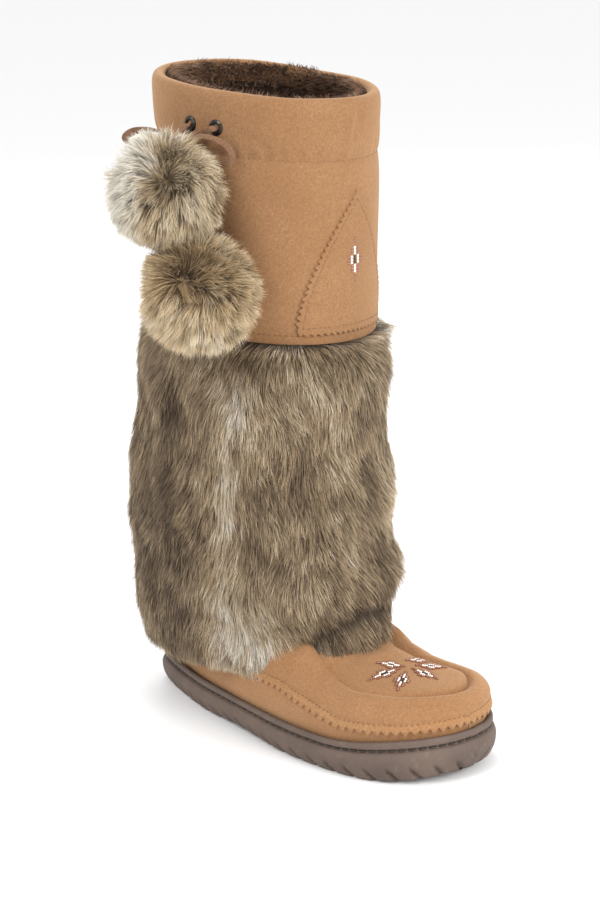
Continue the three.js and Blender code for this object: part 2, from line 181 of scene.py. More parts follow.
# ---- mesh making ----
def build(name, verts, faces, material, uvs=None):
    """A mesh object from arrays: verts in drawing mm, faces as one or more arrays of triangles or quads."""
    faces = [np.asarray(f) for f in (faces if isinstance(faces, list) else [faces]) if len(f)]
    mesh = bpy.data.meshes.new(name)
    verts = row(verts)
    mesh.vertices.add(len(verts))
    mesh.vertices.foreach_set("co", verts.astype(np.float32).ravel())
    corners = np.concatenate([f.ravel() for f in faces]).astype(np.int32)
    sizes = np.concatenate([np.full(len(f), f.shape[1]) for f in faces])
    mesh.loops.add(len(corners))
    mesh.loops.foreach_set("vertex_index", corners)
    mesh.polygons.add(len(sizes))
    mesh.polygons.foreach_set("loop_start", (np.cumsum(sizes) - sizes).astype(np.int32))
    mesh.update(calc_edges=True)
    mesh.polygons.foreach_set("use_smooth", np.full(len(sizes), True))
    if uvs is not None:
        layer = mesh.uv_layers.new(name="OFBake")
        layer.data.foreach_set("uv", np.asarray(uvs, np.float32)[corners].ravel())
    mesh.materials.append(material)
    obj = bpy.data.objects.new(name, mesh)
    bpy.context.scene.collection.objects.link(obj)
    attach(obj, "root")
    return obj


def grid_faces(rows, columns, wrap=True, start=0):
    """Quads between rows of points; wrap joins each row's last point to its first."""
    i, j = np.meshgrid(np.arange(rows - 1), np.arange(columns if wrap else columns - 1), indexing="ij")
    k = (j + 1) % columns
    return (np.stack([i * columns + j, i * columns + k, (i + 1) * columns + k, (i + 1) * columns + j], -1)
            .reshape(-1, 4) + start)


def tree_of(obj):
    bpy.context.view_layer.update()
    return BVHTree.FromObject(obj, bpy.context.evaluated_depsgraph_get())


def snap(tree, points, lift=0.0):
    """Nearest places on a surface and its normals there, in drawing mm."""
    places, normals = [], []
    for p in row(points):
        place, normal, _, _ = tree.find_nearest(Vector(p))
        places.append(place)
        normals.append(normal)
    places = np.array(places) * 1000 + [HEEL_REST_X, 0, 0]
    normals = np.array(normals)
    return places + normals * lift, normals


def resample(path, step=None, count=None, closed=False):
    """Evenly spaced points on a polyline."""
    path = np.asarray(path, float)
    if closed:
        path = np.vstack([path, path[:1]])
    along = np.r_[0, np.cumsum(np.linalg.norm(np.diff(path, axis=0), axis=1))]
    count = count or max(2, int(round(along[-1] / step)) + 1)
    at = np.linspace(0, along[-1], count + 1)[:-1] if closed else np.linspace(0, along[-1], count)
    return np.stack([np.interp(at, along, path[:, k]) for k in range(path.shape[1])], 1)


def rounded(path, per=8):
    """A Catmull-Rom curve through the points."""
    p = np.asarray(path, float)
    p = np.vstack([2 * p[0] - p[1], p, 2 * p[-1] - p[-2]])
    s = np.linspace(0, 1, per, endpoint=False)[:, None]
    parts = [
        0.5 * (2 * b + (c - a) * s + (2 * a - 5 * b + 4 * c - d) * s**2 + (3 * b - a - 3 * c + d) * s**3)
        for a, b, c, d in zip(p[:-3], p[1:-2], p[2:-1], p[3:])
    ]
    return np.vstack(parts + [p[-2:-1]])


def tube(path, width, thick, across, sides, taper=0.0):
    """Closed tube of elliptical section along a path; `across` gives the wide direction at each point."""
    path = np.asarray(path, float)
    n = len(path)
    along = unit(np.gradient(path, axis=0))
    wide = unit(across - (across * along).sum(1)[:, None] * along)
    flat = np.cross(along, wide)
    a = np.arange(sides) * TAU / sides
    end = np.ones(n)
    if taper:
        end[[0, -1]] = taper
    ring = (path[:, None] + wide[:, None] * (width / 2 * np.cos(a))[None, :, None] * end[:, None, None]
            + flat[:, None] * (thick / 2 * np.sin(a))[None, :, None] * end[:, None, None])
    verts = np.vstack([ring.reshape(-1, 3), path[[0]], path[[-1]]])
    quads = grid_faces(n, sides)
    j = np.arange(sides)
    k = (j + 1) % sides
    last = (n - 1) * sides
    caps = np.vstack([np.stack([k, j, np.full(sides, n * sides)], 1),
                      np.stack([last + j, last + k, np.full(sides, n * sides + 1)], 1)])
    return verts, quads, caps


class Joined:
    """Collects small closed shapes into one mesh."""

    def __init__(self):
        self.verts, self.quads, self.tris, self.uvs, self.count = [], [], [], [], 0

    def add(self, verts, quads=None, tris=None, uv=None):
        self.verts.append(verts)
        if quads is not None:
            self.quads.append(np.asarray(quads) + self.count)
        if tris is not None:
            self.tris.append(np.asarray(tris) + self.count)
        self.uvs.append(np.tile(uv if uv is not None else (0.5, 0.5), (len(verts), 1)))
        self.count += len(verts)

    def make(self, name, material, slot, uv=False):
        faces = [np.vstack(part) for part in (self.quads, self.tris) if part]
        return build(name, np.vstack(self.verts), faces, material, np.vstack(self.uvs) if uv else None)


# ---- materials ----
class Nodes:
    """Short calls for a material's node tree."""

    def __init__(self, name):
        self.material = bpy.data.materials.new(name)
        self.material.use_nodes = True
        self.tree = self.material.node_tree
        self.shader = self.tree.nodes["Principled BSDF"]

    def node(self, kind, links=None, **settings):
        made = self.tree.nodes.new(kind)
        for key, value in settings.items():
            setattr(made, key, value)
        for socket, value in (links or {}).items():
            self.put(made.inputs[socket], value)
        return made

    def put(self, socket, value):
        if isinstance(value, bpy.types.NodeSocket):
            self.tree.links.new(value, socket)
        elif isinstance(value, bpy.types.Node):
            self.tree.links.new(value.outputs[0], socket)
        else:
            socket.default_value = value

    def set(self, **values):
        for key, value in values.items():
            self.put(self.shader.inputs[key.replace("_", " ")], value)

    def noise(self, vector, scale, detail=3.0, roughness=0.55):
        made = self.node("ShaderNodeTexNoise", {"Vector": vector, "Scale": scale, "Detail": detail,
                                                "Roughness": roughness})
        return made.outputs["Fac"]

    def mix(self, factor, a, b, blend="MIX"):
        made = self.node("ShaderNodeMix", data_type="RGBA", blend_type=blend)
        self.put(made.inputs["Factor"], factor)
        self.put(made.inputs["A"], a)
        self.put(made.inputs["B"], b)
        return made.outputs["Result"]

    def span(self, value, low, high, to_low=0.0, to_high=1.0):
        return self.node("ShaderNodeMapRange", {"Value": value, "From Min": low, "From Max": high,
                                                "To Min": to_low, "To Max": to_high}).outputs[0]

    def math(self, operation, a, b=0.0):
        made = self.node("ShaderNodeMath", operation=operation)
        self.put(made.inputs[0], a)
        self.put(made.inputs[1], b)
        return made.outputs[0]

    def place(self):
        return self.node("ShaderNodeTexCoord").outputs["Object"]

    def relief(self, height, strength, distance):
        made = self.node("ShaderNodeBump", {"Height": height, "Strength": strength, "Distance": distance})
        self.set(Normal=made.outputs["Normal"])


def colour(hex_code):
    """Linear colour from an sRGB hex code."""
    parts = [int(hex_code[i:i + 2], 16) / 255 for i in (0, 2, 4)]
    return tuple(c / 12.92 if c <= 0.04045 else ((c + 0.055) / 1.055) ** 2.4 for c in parts) + (1.0,)


def suede_material(name, *codes):
    """Napped suede of three shades: light, middle and dark."""
    light, mid, dark = (colour(code) for code in codes)
    m = Nodes(name)
    p = m.place()
    patches = m.noise(p, 24, 4, 0.6)
    nap = m.noise(p, 650, 4, 0.75)
    fine = m.noise(p, 1700, 2, 0.6)
    base = m.mix(m.span(patches, 0.3, 0.7), mid, light)
    base = m.mix(m.span(nap, 0.62, 0.38, 0, 0.55), base, dark)
    base = m.mix(m.span(nap, 0.55, 0.75, 0, 0.4), base, light)
    base = m.mix(m.span(fine, 0.6, 0.3, 0, 0.6), base, dark)
    m.set(Base_Color=base, Roughness=0.95, Specular_IOR_Level=0.15, Sheen_Weight=0.35, Sheen_Roughness=0.55,
          Sheen_Tint=colour("F2CFA6"))
    m.relief(m.math("ADD", m.math("MULTIPLY", nap, 0.7), m.math("MULTIPLY", fine, 0.5)), 0.35, 0.0005)
    return m.material


def rubber_material():
    m = Nodes("rubber")
    p = m.place()
    grain = m.noise(p, 1400, 2, 0.6)
    cloud = m.noise(p, 30, 4, 0.6)
    dusty = m.noise(p, 160, 3, 0.7)
    base = m.mix(m.span(cloud, 0.35, 0.7), colour("584A42"), colour("6B5B51"))
    base = m.mix(m.span(dusty, 0.58, 0.75, 0, 0.35), base, colour("84756A"))
    m.set(Base_Color=base, Roughness=m.span(cloud, 0.3, 0.7, 0.62, 0.8), Specular_IOR_Level=0.35)
    m.relief(grain, 0.2, 0.0003)
    return m.material


def fur_material(name, ramps):
    """Hair coloured along its length (u) and by its tone (v); ramps is a list of (tone, colours along)."""
    m = Nodes(name)
    uv = m.node("ShaderNodeUVMap", uv_map="OFBake").outputs["UV"]
    split = m.node("ShaderNodeSeparateXYZ", {"Vector": uv})
    along, tone = split.outputs["X"], split.outputs["Y"]
    result, last = None, None
    for at, stops in ramps:
        ramp = m.node("ShaderNodeValToRGB", {"Fac": along})
        elements = ramp.color_ramp.elements
        while len(elements) < len(stops):
            elements.new(0.5)
        for element, (position, code) in zip(elements, stops):
            element.position = position
            element.color = colour(code)
        here = ramp.outputs["Color"]
        result = here if result is None else m.mix(m.span(tone, last, at), result, here)
        last = at
    m.set(Base_Color=result, Roughness=0.62, Specular_IOR_Level=0.25, Sheen_Weight=0.1)
    return m.material


def plain_material(name, code, second, roughness, scale, metallic=0.0, relief=0.15):
    m = Nodes(name)
    grain = m.noise(m.place(), scale, 3, 0.6)
    base = m.mix(m.span(grain, 0.35, 0.7), colour(code), colour(second))
    m.set(Base_Color=base, Roughness=roughness, Metallic=metallic)
    m.relief(grain, relief, 0.0003)
    return m.material


SUEDE = suede_material("suede", "A97F5C", "9C734E", "7E583A")
SUEDE_CUFF = suede_material("suede_cuff", "9E7856", "926C4A", "765337")
# The foot's suede painted lighter for the pinked teeth: painted light on their raised edges.
SUEDE_LIT_EDGE = suede_material("suede_lit_edge", "B08761", "A37852", "7F5939")
RUBBER = rubber_material()
FUR_SHADES = [
    (0.0, [(0.0, "1A1510"), (0.45, "352A1F"), (0.8, "4A3B2B"), (1.0, "2A2119")]),
    (0.33, [(0.0, "2A2219"), (0.4, "5A4937"), (0.8, "877259"), (1.0, "6B5741")]),
    (0.66, [(0.0, "3B3126"), (0.4, "87745B"), (0.75, "B7A17F"), (1.0, "C6B18E")]),
    (1.0, [(0.0, "6A6157"), (0.4, "B3AA9C"), (0.75, "DDD6C8"), (1.0, "EEE8DB")]),
]
FUR_SKIN = plain_material("fur_skin", "2E251C", "43372A", 0.95, 300)
FUR_HAIR = fur_material("fur_hair", FUR_SHADES)
LINING = plain_material("lining", "3A2A20", "57412F", 0.95, 260, relief=0.6)
THREAD = plain_material("thread", "86623F", "6E4E33", 0.85, 2500)
DARK_THREAD = plain_material("dark_thread", "2E2722", "453A32", 0.7, 2500)
METAL = plain_material("gunmetal", "3A3836", "54504C", 0.3, 700, metallic=1.0, relief=0.05)
LACE = suede_material("lace", "8A6650", "735340", "4E382A")


def bead_material():
    """Three kinds of glass bead, picked by the bead's place in the palette map."""
    m = Nodes("beads")
    uv = m.node("ShaderNodeUVMap", uv_map="OFBake").outputs["UV"]
    kind = m.node("ShaderNodeSeparateXYZ", {"Vector": uv}).outputs["X"]
    base = m.mix(m.math("GREATER_THAN", kind, 0.33), colour("8F5F48"), colour("F4E4DA"))
    base = m.mix(m.math("GREATER_THAN", kind, 0.66), base, colour("181312"))
    m.set(Base_Color=base, Roughness=0.2, Metallic=0.5, Coat_Weight=0.6, Coat_Roughness=0.06)
    return m.material


BEADS = bead_material()

# ---- camera, light and floor ----
LENS_MM = 88.8
CAMERA_AT = (1.07308, -0.95191, 0.55478)
CAMERA_TURN = (math.radians(74.802), math.radians(0.705), math.radians(45.795))
camera_data = bpy.data.cameras.new("camera")
camera_data.lens = LENS_MM
camera_data.sensor_width = 36
camera_data.sensor_fit = "AUTO"
camera = bpy.data.objects.new("camera", camera_data)
camera.location = CAMERA_AT
camera.rotation_euler = CAMERA_TURN
bpy.context.scene.collection.objects.link(camera)
bpy.context.scene.camera = camera


def area_light(name, place, target, size, power):
    data = bpy.data.lights.new(name, "AREA")
    data.shape = "DISK"
    data.size = size
    data.energy = power
    lamp = bpy.data.objects.new(name, data)
    lamp.location = place
    lamp.rotation_euler = (Vector(target) - Vector(place)).to_track_quat("-Z", "Y").to_euler()
    bpy.context.scene.collection.objects.link(lamp)


area_light("key", (0.3, -1.7, 1.7), (0.06, 0, 0.2), size=1.0, power=20)
area_light("fill", (1.9, 0.1, 1.0), (0.06, 0, 0.2), size=1.2, power=28)
area_light("back", (-1.3, 1.0, 1.5), (0.06, 0, 0.25), size=1.2, power=16)
world = bpy.data.worlds.new("world")
world.use_nodes = True
background = world.node_tree.nodes["Background"]
background.inputs["Color"].default_value = (1, 1, 1, 1)
background.inputs["Strength"].default_value = 1.0
bpy.context.scene.world = world
bpy.context.scene.view_settings.view_transform = "Standard"

HALF_FLOOR = 6.0
FLOOR_GAP = 0.0002
floor_mesh = bpy.data.meshes.new("floor")
corners = ((-1, -1), (1, -1), (1, 1), (-1, 1))
floor_mesh.from_pydata([(x * HALF_FLOOR, y * HALF_FLOOR, 0) for x, y in corners], [], [(0, 1, 2, 3)])
floor_material = bpy.data.materials.new("floor")
floor_material.use_nodes = True
floor_shader = floor_material.node_tree.nodes["Principled BSDF"]
floor_shader.inputs["Base Color"].default_value = (0.93, 0.93, 0.93, 1)
floor_shader.inputs["Roughness"].default_value = 0.9
floor_mesh.materials.append(floor_material)
floor = bpy.data.objects.new("floor", floor_mesh)
floor.location.z = -FLOOR_GAP
bpy.context.scene.collection.objects.link(floor)


# ---- forms ----
def outline_point(angle, out=0.0):
    """Sole outline round an angle, 0 at the toe and a half turn at the heel, inner side first."""
    def at(a):
        t = (1 + np.cos(a)) / 2
        return np.stack([t * LENGTH, np.where(np.sin(a) >= 0, inner_half(t), -outer_half(t))], -1)

    step = 0.02
    along = unit(at(angle + step) - at(angle - step))
    return at(angle) + np.stack([along[..., 1], -along[..., 0]], -1) * np.asarray(out)[..., None]


def foot_point(turn, arc, grow):
    """Moccasin foot: turn runs from heel (pi) to toe (0), arc over it from the inner to the outer side."""
    turn, arc = np.broadcast_arrays(np.asarray(turn, float), np.asarray(arc, float))
    inner = outline_point(turn, np.full(turn.shape, grow - LIP_WIDTH))
    outer = outline_point(-turn, np.full(turn.shape, grow - LIP_WIDTH))
    t = np.clip(inner[..., 0] / LENGTH, 0, 1)
    spring = lip_at(t) + 1
    height = crown_at(t) + grow - spring
    power = 2 / square_at(t)
    across = np.cos(arc)
    side = np.where(across > 0, inner[..., 1], outer[..., 1])
    z = spring + height * np.maximum(0, np.sin(arc)) ** power
    rise = np.clip((z - spring) / 34, 0, 1)
    bulge = FOOT_BULGE * np.sin(math.pi * rise) * np.minimum(1, np.abs(side) / 20)
    y = (side + np.sign(side) * bulge) * np.abs(across) ** power
    x = outer[..., 0] + (inner[..., 0] - outer[..., 0]) * (1 + across) / 2
    return np.stack([x, y, z], -1)


def shaft_point(angle, z, grow=0.0):
    """Shaft: angle 0 at the front, growing towards the inner side; z is the ring's height."""
    back, front, half = shaft["back"](z) - grow, shaft["front"](z) + grow, shaft["half"](z) + grow
    x = (front + back) / 2 + (front - back) / 2 * np.cos(angle)
    y = SHAFT_MID_Y + half * np.sin(angle)
    return np.stack(np.broadcast_arrays(x, y, z - shaft["tilt"](z) * np.cos(angle)), -1)


# ---- outsole ----
SOLE_ROUND = 480
SOLE_WALL = {
    "h": [0, 0.04, 0.1, 0.3, 0.52, 0.66, 0.715, 0.74, 0.80, 0.825, 0.87, 0.94, 0.985, 1.0],
    "out": [-2.6, -1.2, -0.2, 1.9, 2.5, 1.5, 0.5, -1.3, -1.3, 0.1, 0.45, 0.35, -0.4, -1.3],
}
SOLE_HEIGHTS = np.r_[0, 0.02, 0.04, 0.07, np.linspace(0.1, 0.66, 15), 0.69, 0.715, 0.728, 0.74, 0.77, 0.80,
                     0.812, 0.825, 0.845, 0.87, 0.905, 0.94, 0.965, 0.985, 1.0]
CUT_SPACING, CUT_DEPTH, CUT_LEAN = 14.6, 2.8, 13.65
CUP_INSET = 0.4 - LIP_WIDTH
STITCH_PITCH, STITCH_THICK, STITCH_HEIGHT = 6.4, 1.25, 0.772
LUGS = {"pitch": 13.2, "width": 3.0, "depth": 2.6, "bend": 12.0, "first": 11.5}


def lug_groove(x, y, half):
    """1 in the tread's grooves, 0 on its lugs: chevrons that bend towards the toe at both edges."""
    side = np.abs(y) / half
    along = x - LUGS["first"] - (side - 0.5) * LUGS["bend"]
    off = np.abs((along / LUGS["pitch"] + 0.5) % 1 - 0.5) * LUGS["pitch"]
    return 1 - smoothstep(off, LUGS["width"] * 0.35, LUGS["width"] * 0.62)


def make_outsole():
    a = (np.arange(SOLE_ROUND) + 0.5) * TAU / SOLE_ROUND
    out_at = column(SOLE_WALL, "h", "out")
    edge = outline_point(a)
    t_edge = np.clip(edge[:, 0] / LENGTH, 0, 1)
    arc = np.r_[0, np.cumsum(np.linalg.norm(np.diff(edge, axis=0), axis=1))]
    total = arc[-1] + np.linalg.norm(edge[0] - edge[-1])
    cuts = round(total / CUT_SPACING)
    ahead = np.where(a < math.pi, arc, total - arc)
    rings = []
    for h in SOLE_HEIGHTS:
        # Comma cuts lean back as they climb the wall and die out below its middle.
        phase = ((ahead - CUT_LEAN * h - 2.4 * np.sin(4 * h)) * cuts / total) % 1
        off = np.abs(phase - 0.5) * total / cuts
        wide = 1.5 - 1.6 * h
        cut = (1 - smoothstep(off, 0.45 * wide, 1.5 * wide)) * (1 - smoothstep(h, 0.18, 0.44)) * CUT_DEPTH
        p = outline_point(a, out_at(h) - cut)
        z = bottom_at(t_edge) + (lip_at(t_edge) - bottom_at(t_edge)) * h
        rings.append(np.column_stack([p, z]))
    cup = outline_point(a, np.full(len(a), CUP_INSET))
    rings.append(np.column_stack([cup, lip_at(t_edge) - 0.6]))
    rings.append(np.column_stack([cup, np.full(len(a), FOOTBED)]))
    verts = np.vstack(rings)
    # Tread and footbed: rungs from one side of the sole to the other.
    half_round = SOLE_ROUND // 2
    rungs = 40
    inner = np.arange(half_round)
    share = np.linspace(0, 1, rungs + 1)[1:-1]
    bottom, top = rings[0], rings[-1]
    left, right = bottom[inner], bottom[SOLE_ROUND - 1 - inner]
    grid = left[:, None] + (right - left)[:, None] * share[None, :, None]
    half = np.maximum(np.abs(left[:, 1] - right[:, 1]) / 2, 4)[:, None]
    inset = np.minimum(share, 1 - share)[None, :] * half * 2
    groove = lug_groove(grid[..., 0], grid[..., 1] - (left[:, 1] + right[:, 1])[:, None] / 2, half)
    grid[..., 2] = bottom_at(grid[..., 0] / LENGTH) + LUGS["depth"] * groove * smoothstep(inset, 0, 2.5)
    base = len(verts)
    index = np.empty((half_round, rungs + 1), int)
    index[:, 0], index[:, -1] = inner, SOLE_ROUND - 1 - inner
    index[:, 1:-1] = base + np.arange(half_round * (rungs - 1)).reshape(half_round, rungs - 1)
    verts = np.vstack([verts, grid.reshape(-1, 3)])
    tread = np.stack([index[:-1, :-1], index[:-1, 1:], index[1:, 1:], index[1:, :-1]], -1).reshape(-1, 4)
    last = (len(rings) - 1) * SOLE_ROUND
    i = inner[:-1]
    footbed = np.stack([last + i, last + i + 1, last + SOLE_ROUND - 2 - i, last + SOLE_ROUND - 1 - i], 1)
    faces = np.vstack([grid_faces(len(rings), SOLE_ROUND), tread, footbed])
    obj = build("outsole_rubber", verts, faces, RUBBER)
    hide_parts("outsole")
    # Long dark stitches in the groove under the lip.
    stitches = Joined()
    ring = outline_point(np.linspace(0, TAU, 1400, endpoint=False), -1.1)
    ring = resample(np.column_stack([ring, np.zeros(len(ring))]), step=STITCH_PITCH, closed=True)
    for p, q in zip(ring, np.roll(ring, -1, axis=0)):
        places = np.array([p + (q - p) * s for s in (0.1, 0.3, 0.5, 0.7, 0.9)])
        t = np.clip(places[:, 0] / LENGTH, 0, 1)
        z = bottom_at(t) + (lip_at(t) - bottom_at(t)) * STITCH_HEIGHT
        path = np.column_stack([places[:, :2], z])
        outwards = unit(np.array([q[1] - p[1], p[0] - q[0], 0]))
        path += outwards * (np.array([-0.7, 0.25, 0.45, 0.25, -0.7]) + 0.15)[:, None]
        stitches.add(*tube(path, STITCH_THICK, STITCH_THICK, np.tile(-DOWN, (5, 1)), sides=6, taper=0.7))
    stitches.make("groove_stitches", DARK_THREAD, "rubber")


make_outsole()

# ---- moccasin foot ----
# The plug's edge on the top of the foot, seen from above: a U that opens towards the shaft.
PLUG_EDGE = [(126, -22), (146, -25), (168, -29), (188, -33), (200, -35.2), (211.6, -36), (223.4, -33.4),
             (240.8, -25.9), (251.3, -16.3), (257.6, -2.4), (258.6, 10), (256, 20), (249.5, 27),
             (240, 30), (226, 30.5), (207, 29.5), (186, 29), (165, 28), (146, 26), (126, 24)]
# Along the inner side and the toe: how deep the fold at the plug's edge is, and how high the roll past it.
INNER_FOLD = {
    "x": [126, 150, 177, 186, 204, 215, 235, 247, 258, 275],
    "deep": [-0.5, -1.3, -2.2, -2.8, -2.4, -1.7, 0.2, 1.3, 0.6, 0],
    "high": [1, 2.4, 5.0, 3.4, 0.9, 0.5, 1.5, 2.7, 2.8, 1.0],
}
fold_deep, roll_high = column(INNER_FOLD, "x", "deep"), column(INNER_FOLD, "x", "high")
# How far the foot piece's pinked edge stands above the lip, by place along the foot.
SEAM = {"x": [120, 160, 178, 201, 216, 243, 257, 275], "rise": [24, 23, 19.5, 15, 11.6, 8.4, 7.2, 6.6]}
seam_rise = column(SEAM, "x", "rise")
# Walking creases across the vamp: place along the foot, lean and depth.
VAMP_CREASES = [(192, 0.10, 0.5), (203, -0.08, 0.35), (181, 0.2, 0.5)]
SKIN_LIFT, SKIRT_GAP, TIP_GAP = 0.45, 1.2, 0.25
plug_edge = resample(rounded(PLUG_EDGE, 12), step=1.2)


def plug_distance(points):
    """Distance from the plug's edge seen from above, positive outside it."""
    flat = points[:, :2]
    best = np.full(len(flat), 1e9)
    inside = np.zeros(len(flat), bool)
    for p, q in zip(plug_edge[:-1], plug_edge[1:]):
        d = q - p
        s = np.clip(((flat - p) @ d) / (d @ d), 0, 1)
        best = np.minimum(best, np.hypot(*(flat - p - s[:, None] * d).T))
    ring = np.vstack([plug_edge, plug_edge[:1]])
    for p, q in zip(ring[:-1], ring[1:]):
        crosses = (p[1] > flat[:, 1]) != (q[1] > flat[:, 1])
        at = p[0] + (flat[:, 1] - p[1]) / np.where(q[1] == p[1], 1e-9, q[1] - p[1]) * (q[0] - p[0])
        inside ^= crosses & (flat[:, 0] < at)
    return np.where(inside, -best, best)


def foot_relief(points):
    """How far the suede stands above the foot's plain form: plug, fold, puffed roll, edge and creases."""
    x, y, z = points.T
    d = plug_distance(points)
    # The fold is deep along the inner side and round the toe, and soft along the outer side.
    far = np.clip(smoothstep(y, -12, 18) + smoothstep(x, 238, 254), 0, 1)
    fade = smoothstep(x, 128, 156)
    fold = far * fold_deep(x) + (1 - far) * -0.2
    high = far * roll_high(x) + (1 - far) * 1.9
    rise = smoothstep(d, 0, 5.4)
    roll = np.where(d > 0, fold + (high - fold) * rise, fold * (1 - smoothstep(-d, 0, 19)))
    t = np.clip(x / LENGTH, 0, 1)
    above_lip = z - lip_at(t)
    roll = roll * (1 - 0.8 * smoothstep(d, 8, 27)) * smoothstep(above_lip, 2, 17)
    plug = 0.7 * smoothstep(-d, 0.6, 7)
    crease = -(0.9 + 2.8 * far) * bump(d, 0.3, 1.0 + 0.3 * far)
    over = 0.6 * smoothstep(above_lip - seam_rise(x), 0.2, 2.0)
    # The roll is pinched where the foot piece is sewn down to its band.
    pinch = -0.5 * bump(above_lip - seam_rise(x), 3.0, 1.6)
    soft = 0.5 * noise(points, 26) + 0.28 * noise(points, 11, 3.7)
    bend = 0.0
    for middle, lean, deep in VAMP_CREASES:
        wave = 2.2 * noise(points * [0, 1, 0], 17, middle)
        bend = bend - deep * bump(x + lean * y + wave, middle, 2.6) * smoothstep(z, 42, 54)
    soft = (0.6 * soft + 0.35) * smoothstep(above_lip, 0, 7)
    skin = SKIN_LIFT * smoothstep(above_lip, -1, 5)
    return skin + (roll + plug + crease) * fade + over + pinch + soft + bend


def make_foot():
    stations, arcs = 190, 150
    turn = (1 - (np.arange(stations) + 0.5) / stations) * math.pi
    # Points crowd towards the sides, where the section turns down.
    arc = np.linspace(0, math.pi, arcs)
    arc = arc - 0.16 * np.sin(2 * arc)
    arc = np.clip(arc, 0, math.pi)
    body = foot_point(turn[:, None], arc[None, :], 0.0)
    grown = foot_point(turn[:, None], arc[None, :], 1.0)
    out = grown - body
    # Near the tip, where the sections close up, the skin goes out the way the plain form grows.
    n = np.cross(np.gradient(body, axis=0), np.gradient(body, axis=1))
    n /= np.maximum(np.linalg.norm(n, axis=-1, keepdims=True), 1e-9)
    n *= np.sign((n * out).sum(-1, keepdims=True) + 1e-12)
    plain_way = out / np.maximum(np.linalg.norm(out, axis=-1, keepdims=True), 1e-9)
    from_tip = smoothstep(turn, 0.04, 0.3)[:, None, None]
    n = n * from_tip + plain_way * (1 - from_tip)
    flat = body.reshape(-1, 3)
    lifted = flat + n.reshape(-1, 3) * foot_relief(flat)[:, None]
    lifted = lifted.reshape(body.shape)
    # The skirt runs down into the sole's cup on both sides.
    low = lifted[:, [0, -1]].copy()
    low[..., :2] = body[:, [0, -1], :2]
    low[..., 2] = FOOTBED + SKIRT_GAP
    sheet = np.concatenate([low[:, :1], lifted, low[:, 1:]], axis=1)
    tip = sheet[-1].copy()
    tip[:, 0] += TIP_GAP
    tip[:, 1] = sheet[-1, :, 1].mean()
    sheet = np.concatenate([sheet, tip[None]], axis=0)
    rows, columns = sheet.shape[:2]
    obj = build("foot_suede", sheet.reshape(-1, 3), grid_faces(rows, columns, wrap=False), SUEDE)
    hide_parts("upper")
    return obj


foot = make_foot()
foot_tree = tree_of(foot)


# ---- drawstring: two strips through the eyelets, a bow knot and its loops ----
LACE_WIDTH = 3.6
LACE_THICK = 1.3
LOOP_WIDTH, LOOP_TWIST = 1.35 * LACE_WIDTH, 0.75
KNOT_AT = np.array([98, -63.5, 383])
KNOT_SCALE, KNOT_WIDTH, KNOT_THICK = 1.435, 3.2, 2.0
LACE_MIDDLE = np.array([99, 3.6, 383.0])
POMPOM_AT = {"pompom_upper": (112, -91, 359), "pompom_lower": (133, -85, 297.5)}
ROUTES = {
    "lace_to_upper": [
        (97.9, -52.5, 393.5), (97.9, -57.4, 393.5), (98.1, -60.4, 393.1), (97.5, -62.8, 391.6),
        (97.4, -63.9, 389.2), (97.7, -64.0, 386.4), (98, -63.8, 383), (98.8, -65.4, 380.4),
        (100.2, -67.4, 378.4), (102.4, -71.5, 374.2), (105.6, -77.5, 368.6)],
    "lace_to_lower": [
        (117.7, -51.2, 392.5), (118.6, -55.6, 392.5), (119.4, -59.6, 392.3), (116.6, -62.2, 391.2),
        (111, -63.0, 388.6), (105.6, -63.5, 386.0), (100.6, -63.6, 383.9), (97.2, -63.6, 380.4),
        (95.2, -63.6, 376.4), (92, -63.6, 370), (88.8, -63.7, 358), (90.4, -64.4, 345),
        (98, -66.4, 332.4), (106, -69.6, 323.6), (113.6, -73.6, 316.4), (121, -78.2, 309)],
    "lace_loop_front": [
        (100.4, -65.4, 382.2), (104, -66.4, 382.8), (110, -68.8, 386.5), (118, -69.4, 388.6),
        (127, -67.4, 388), (134.8, -63.2, 384), (137.6, -60.8, 378), (133.7, -61, 372.6),
        (126, -61.8, 372.4), (117, -62.5, 375.2), (109, -62.9, 378.2), (100.6, -63.3, 381.4)],
    "lace_loop_rear": [
        (95.4, -65.2, 384.4), (92.2, -66.6, 385.6), (87.6, -70.6, 388.4), (81.4, -76.6, 390.4),
        (75.2, -83.2, 389.6), (72.0, -87.6, 386.6), (71.6, -86.0, 383.4), (75.6, -79.6, 382.4),
        (82.4, -72.4, 383.0), (89.0, -66.8, 382.0), (92.2, -65.0, 381.2), (95.2, -63.8, 381.4)],
}
LACE_STANDS_FOR = {
    "lace_to_upper": ("lace_rear", "lace_end_upper"),
    "lace_to_lower": ("lace_front", "lace_end_lower"),
    "lace_loop_front": ("lace_loop_front",),
    "lace_loop_rear": ("lace_loop_rear",),
}


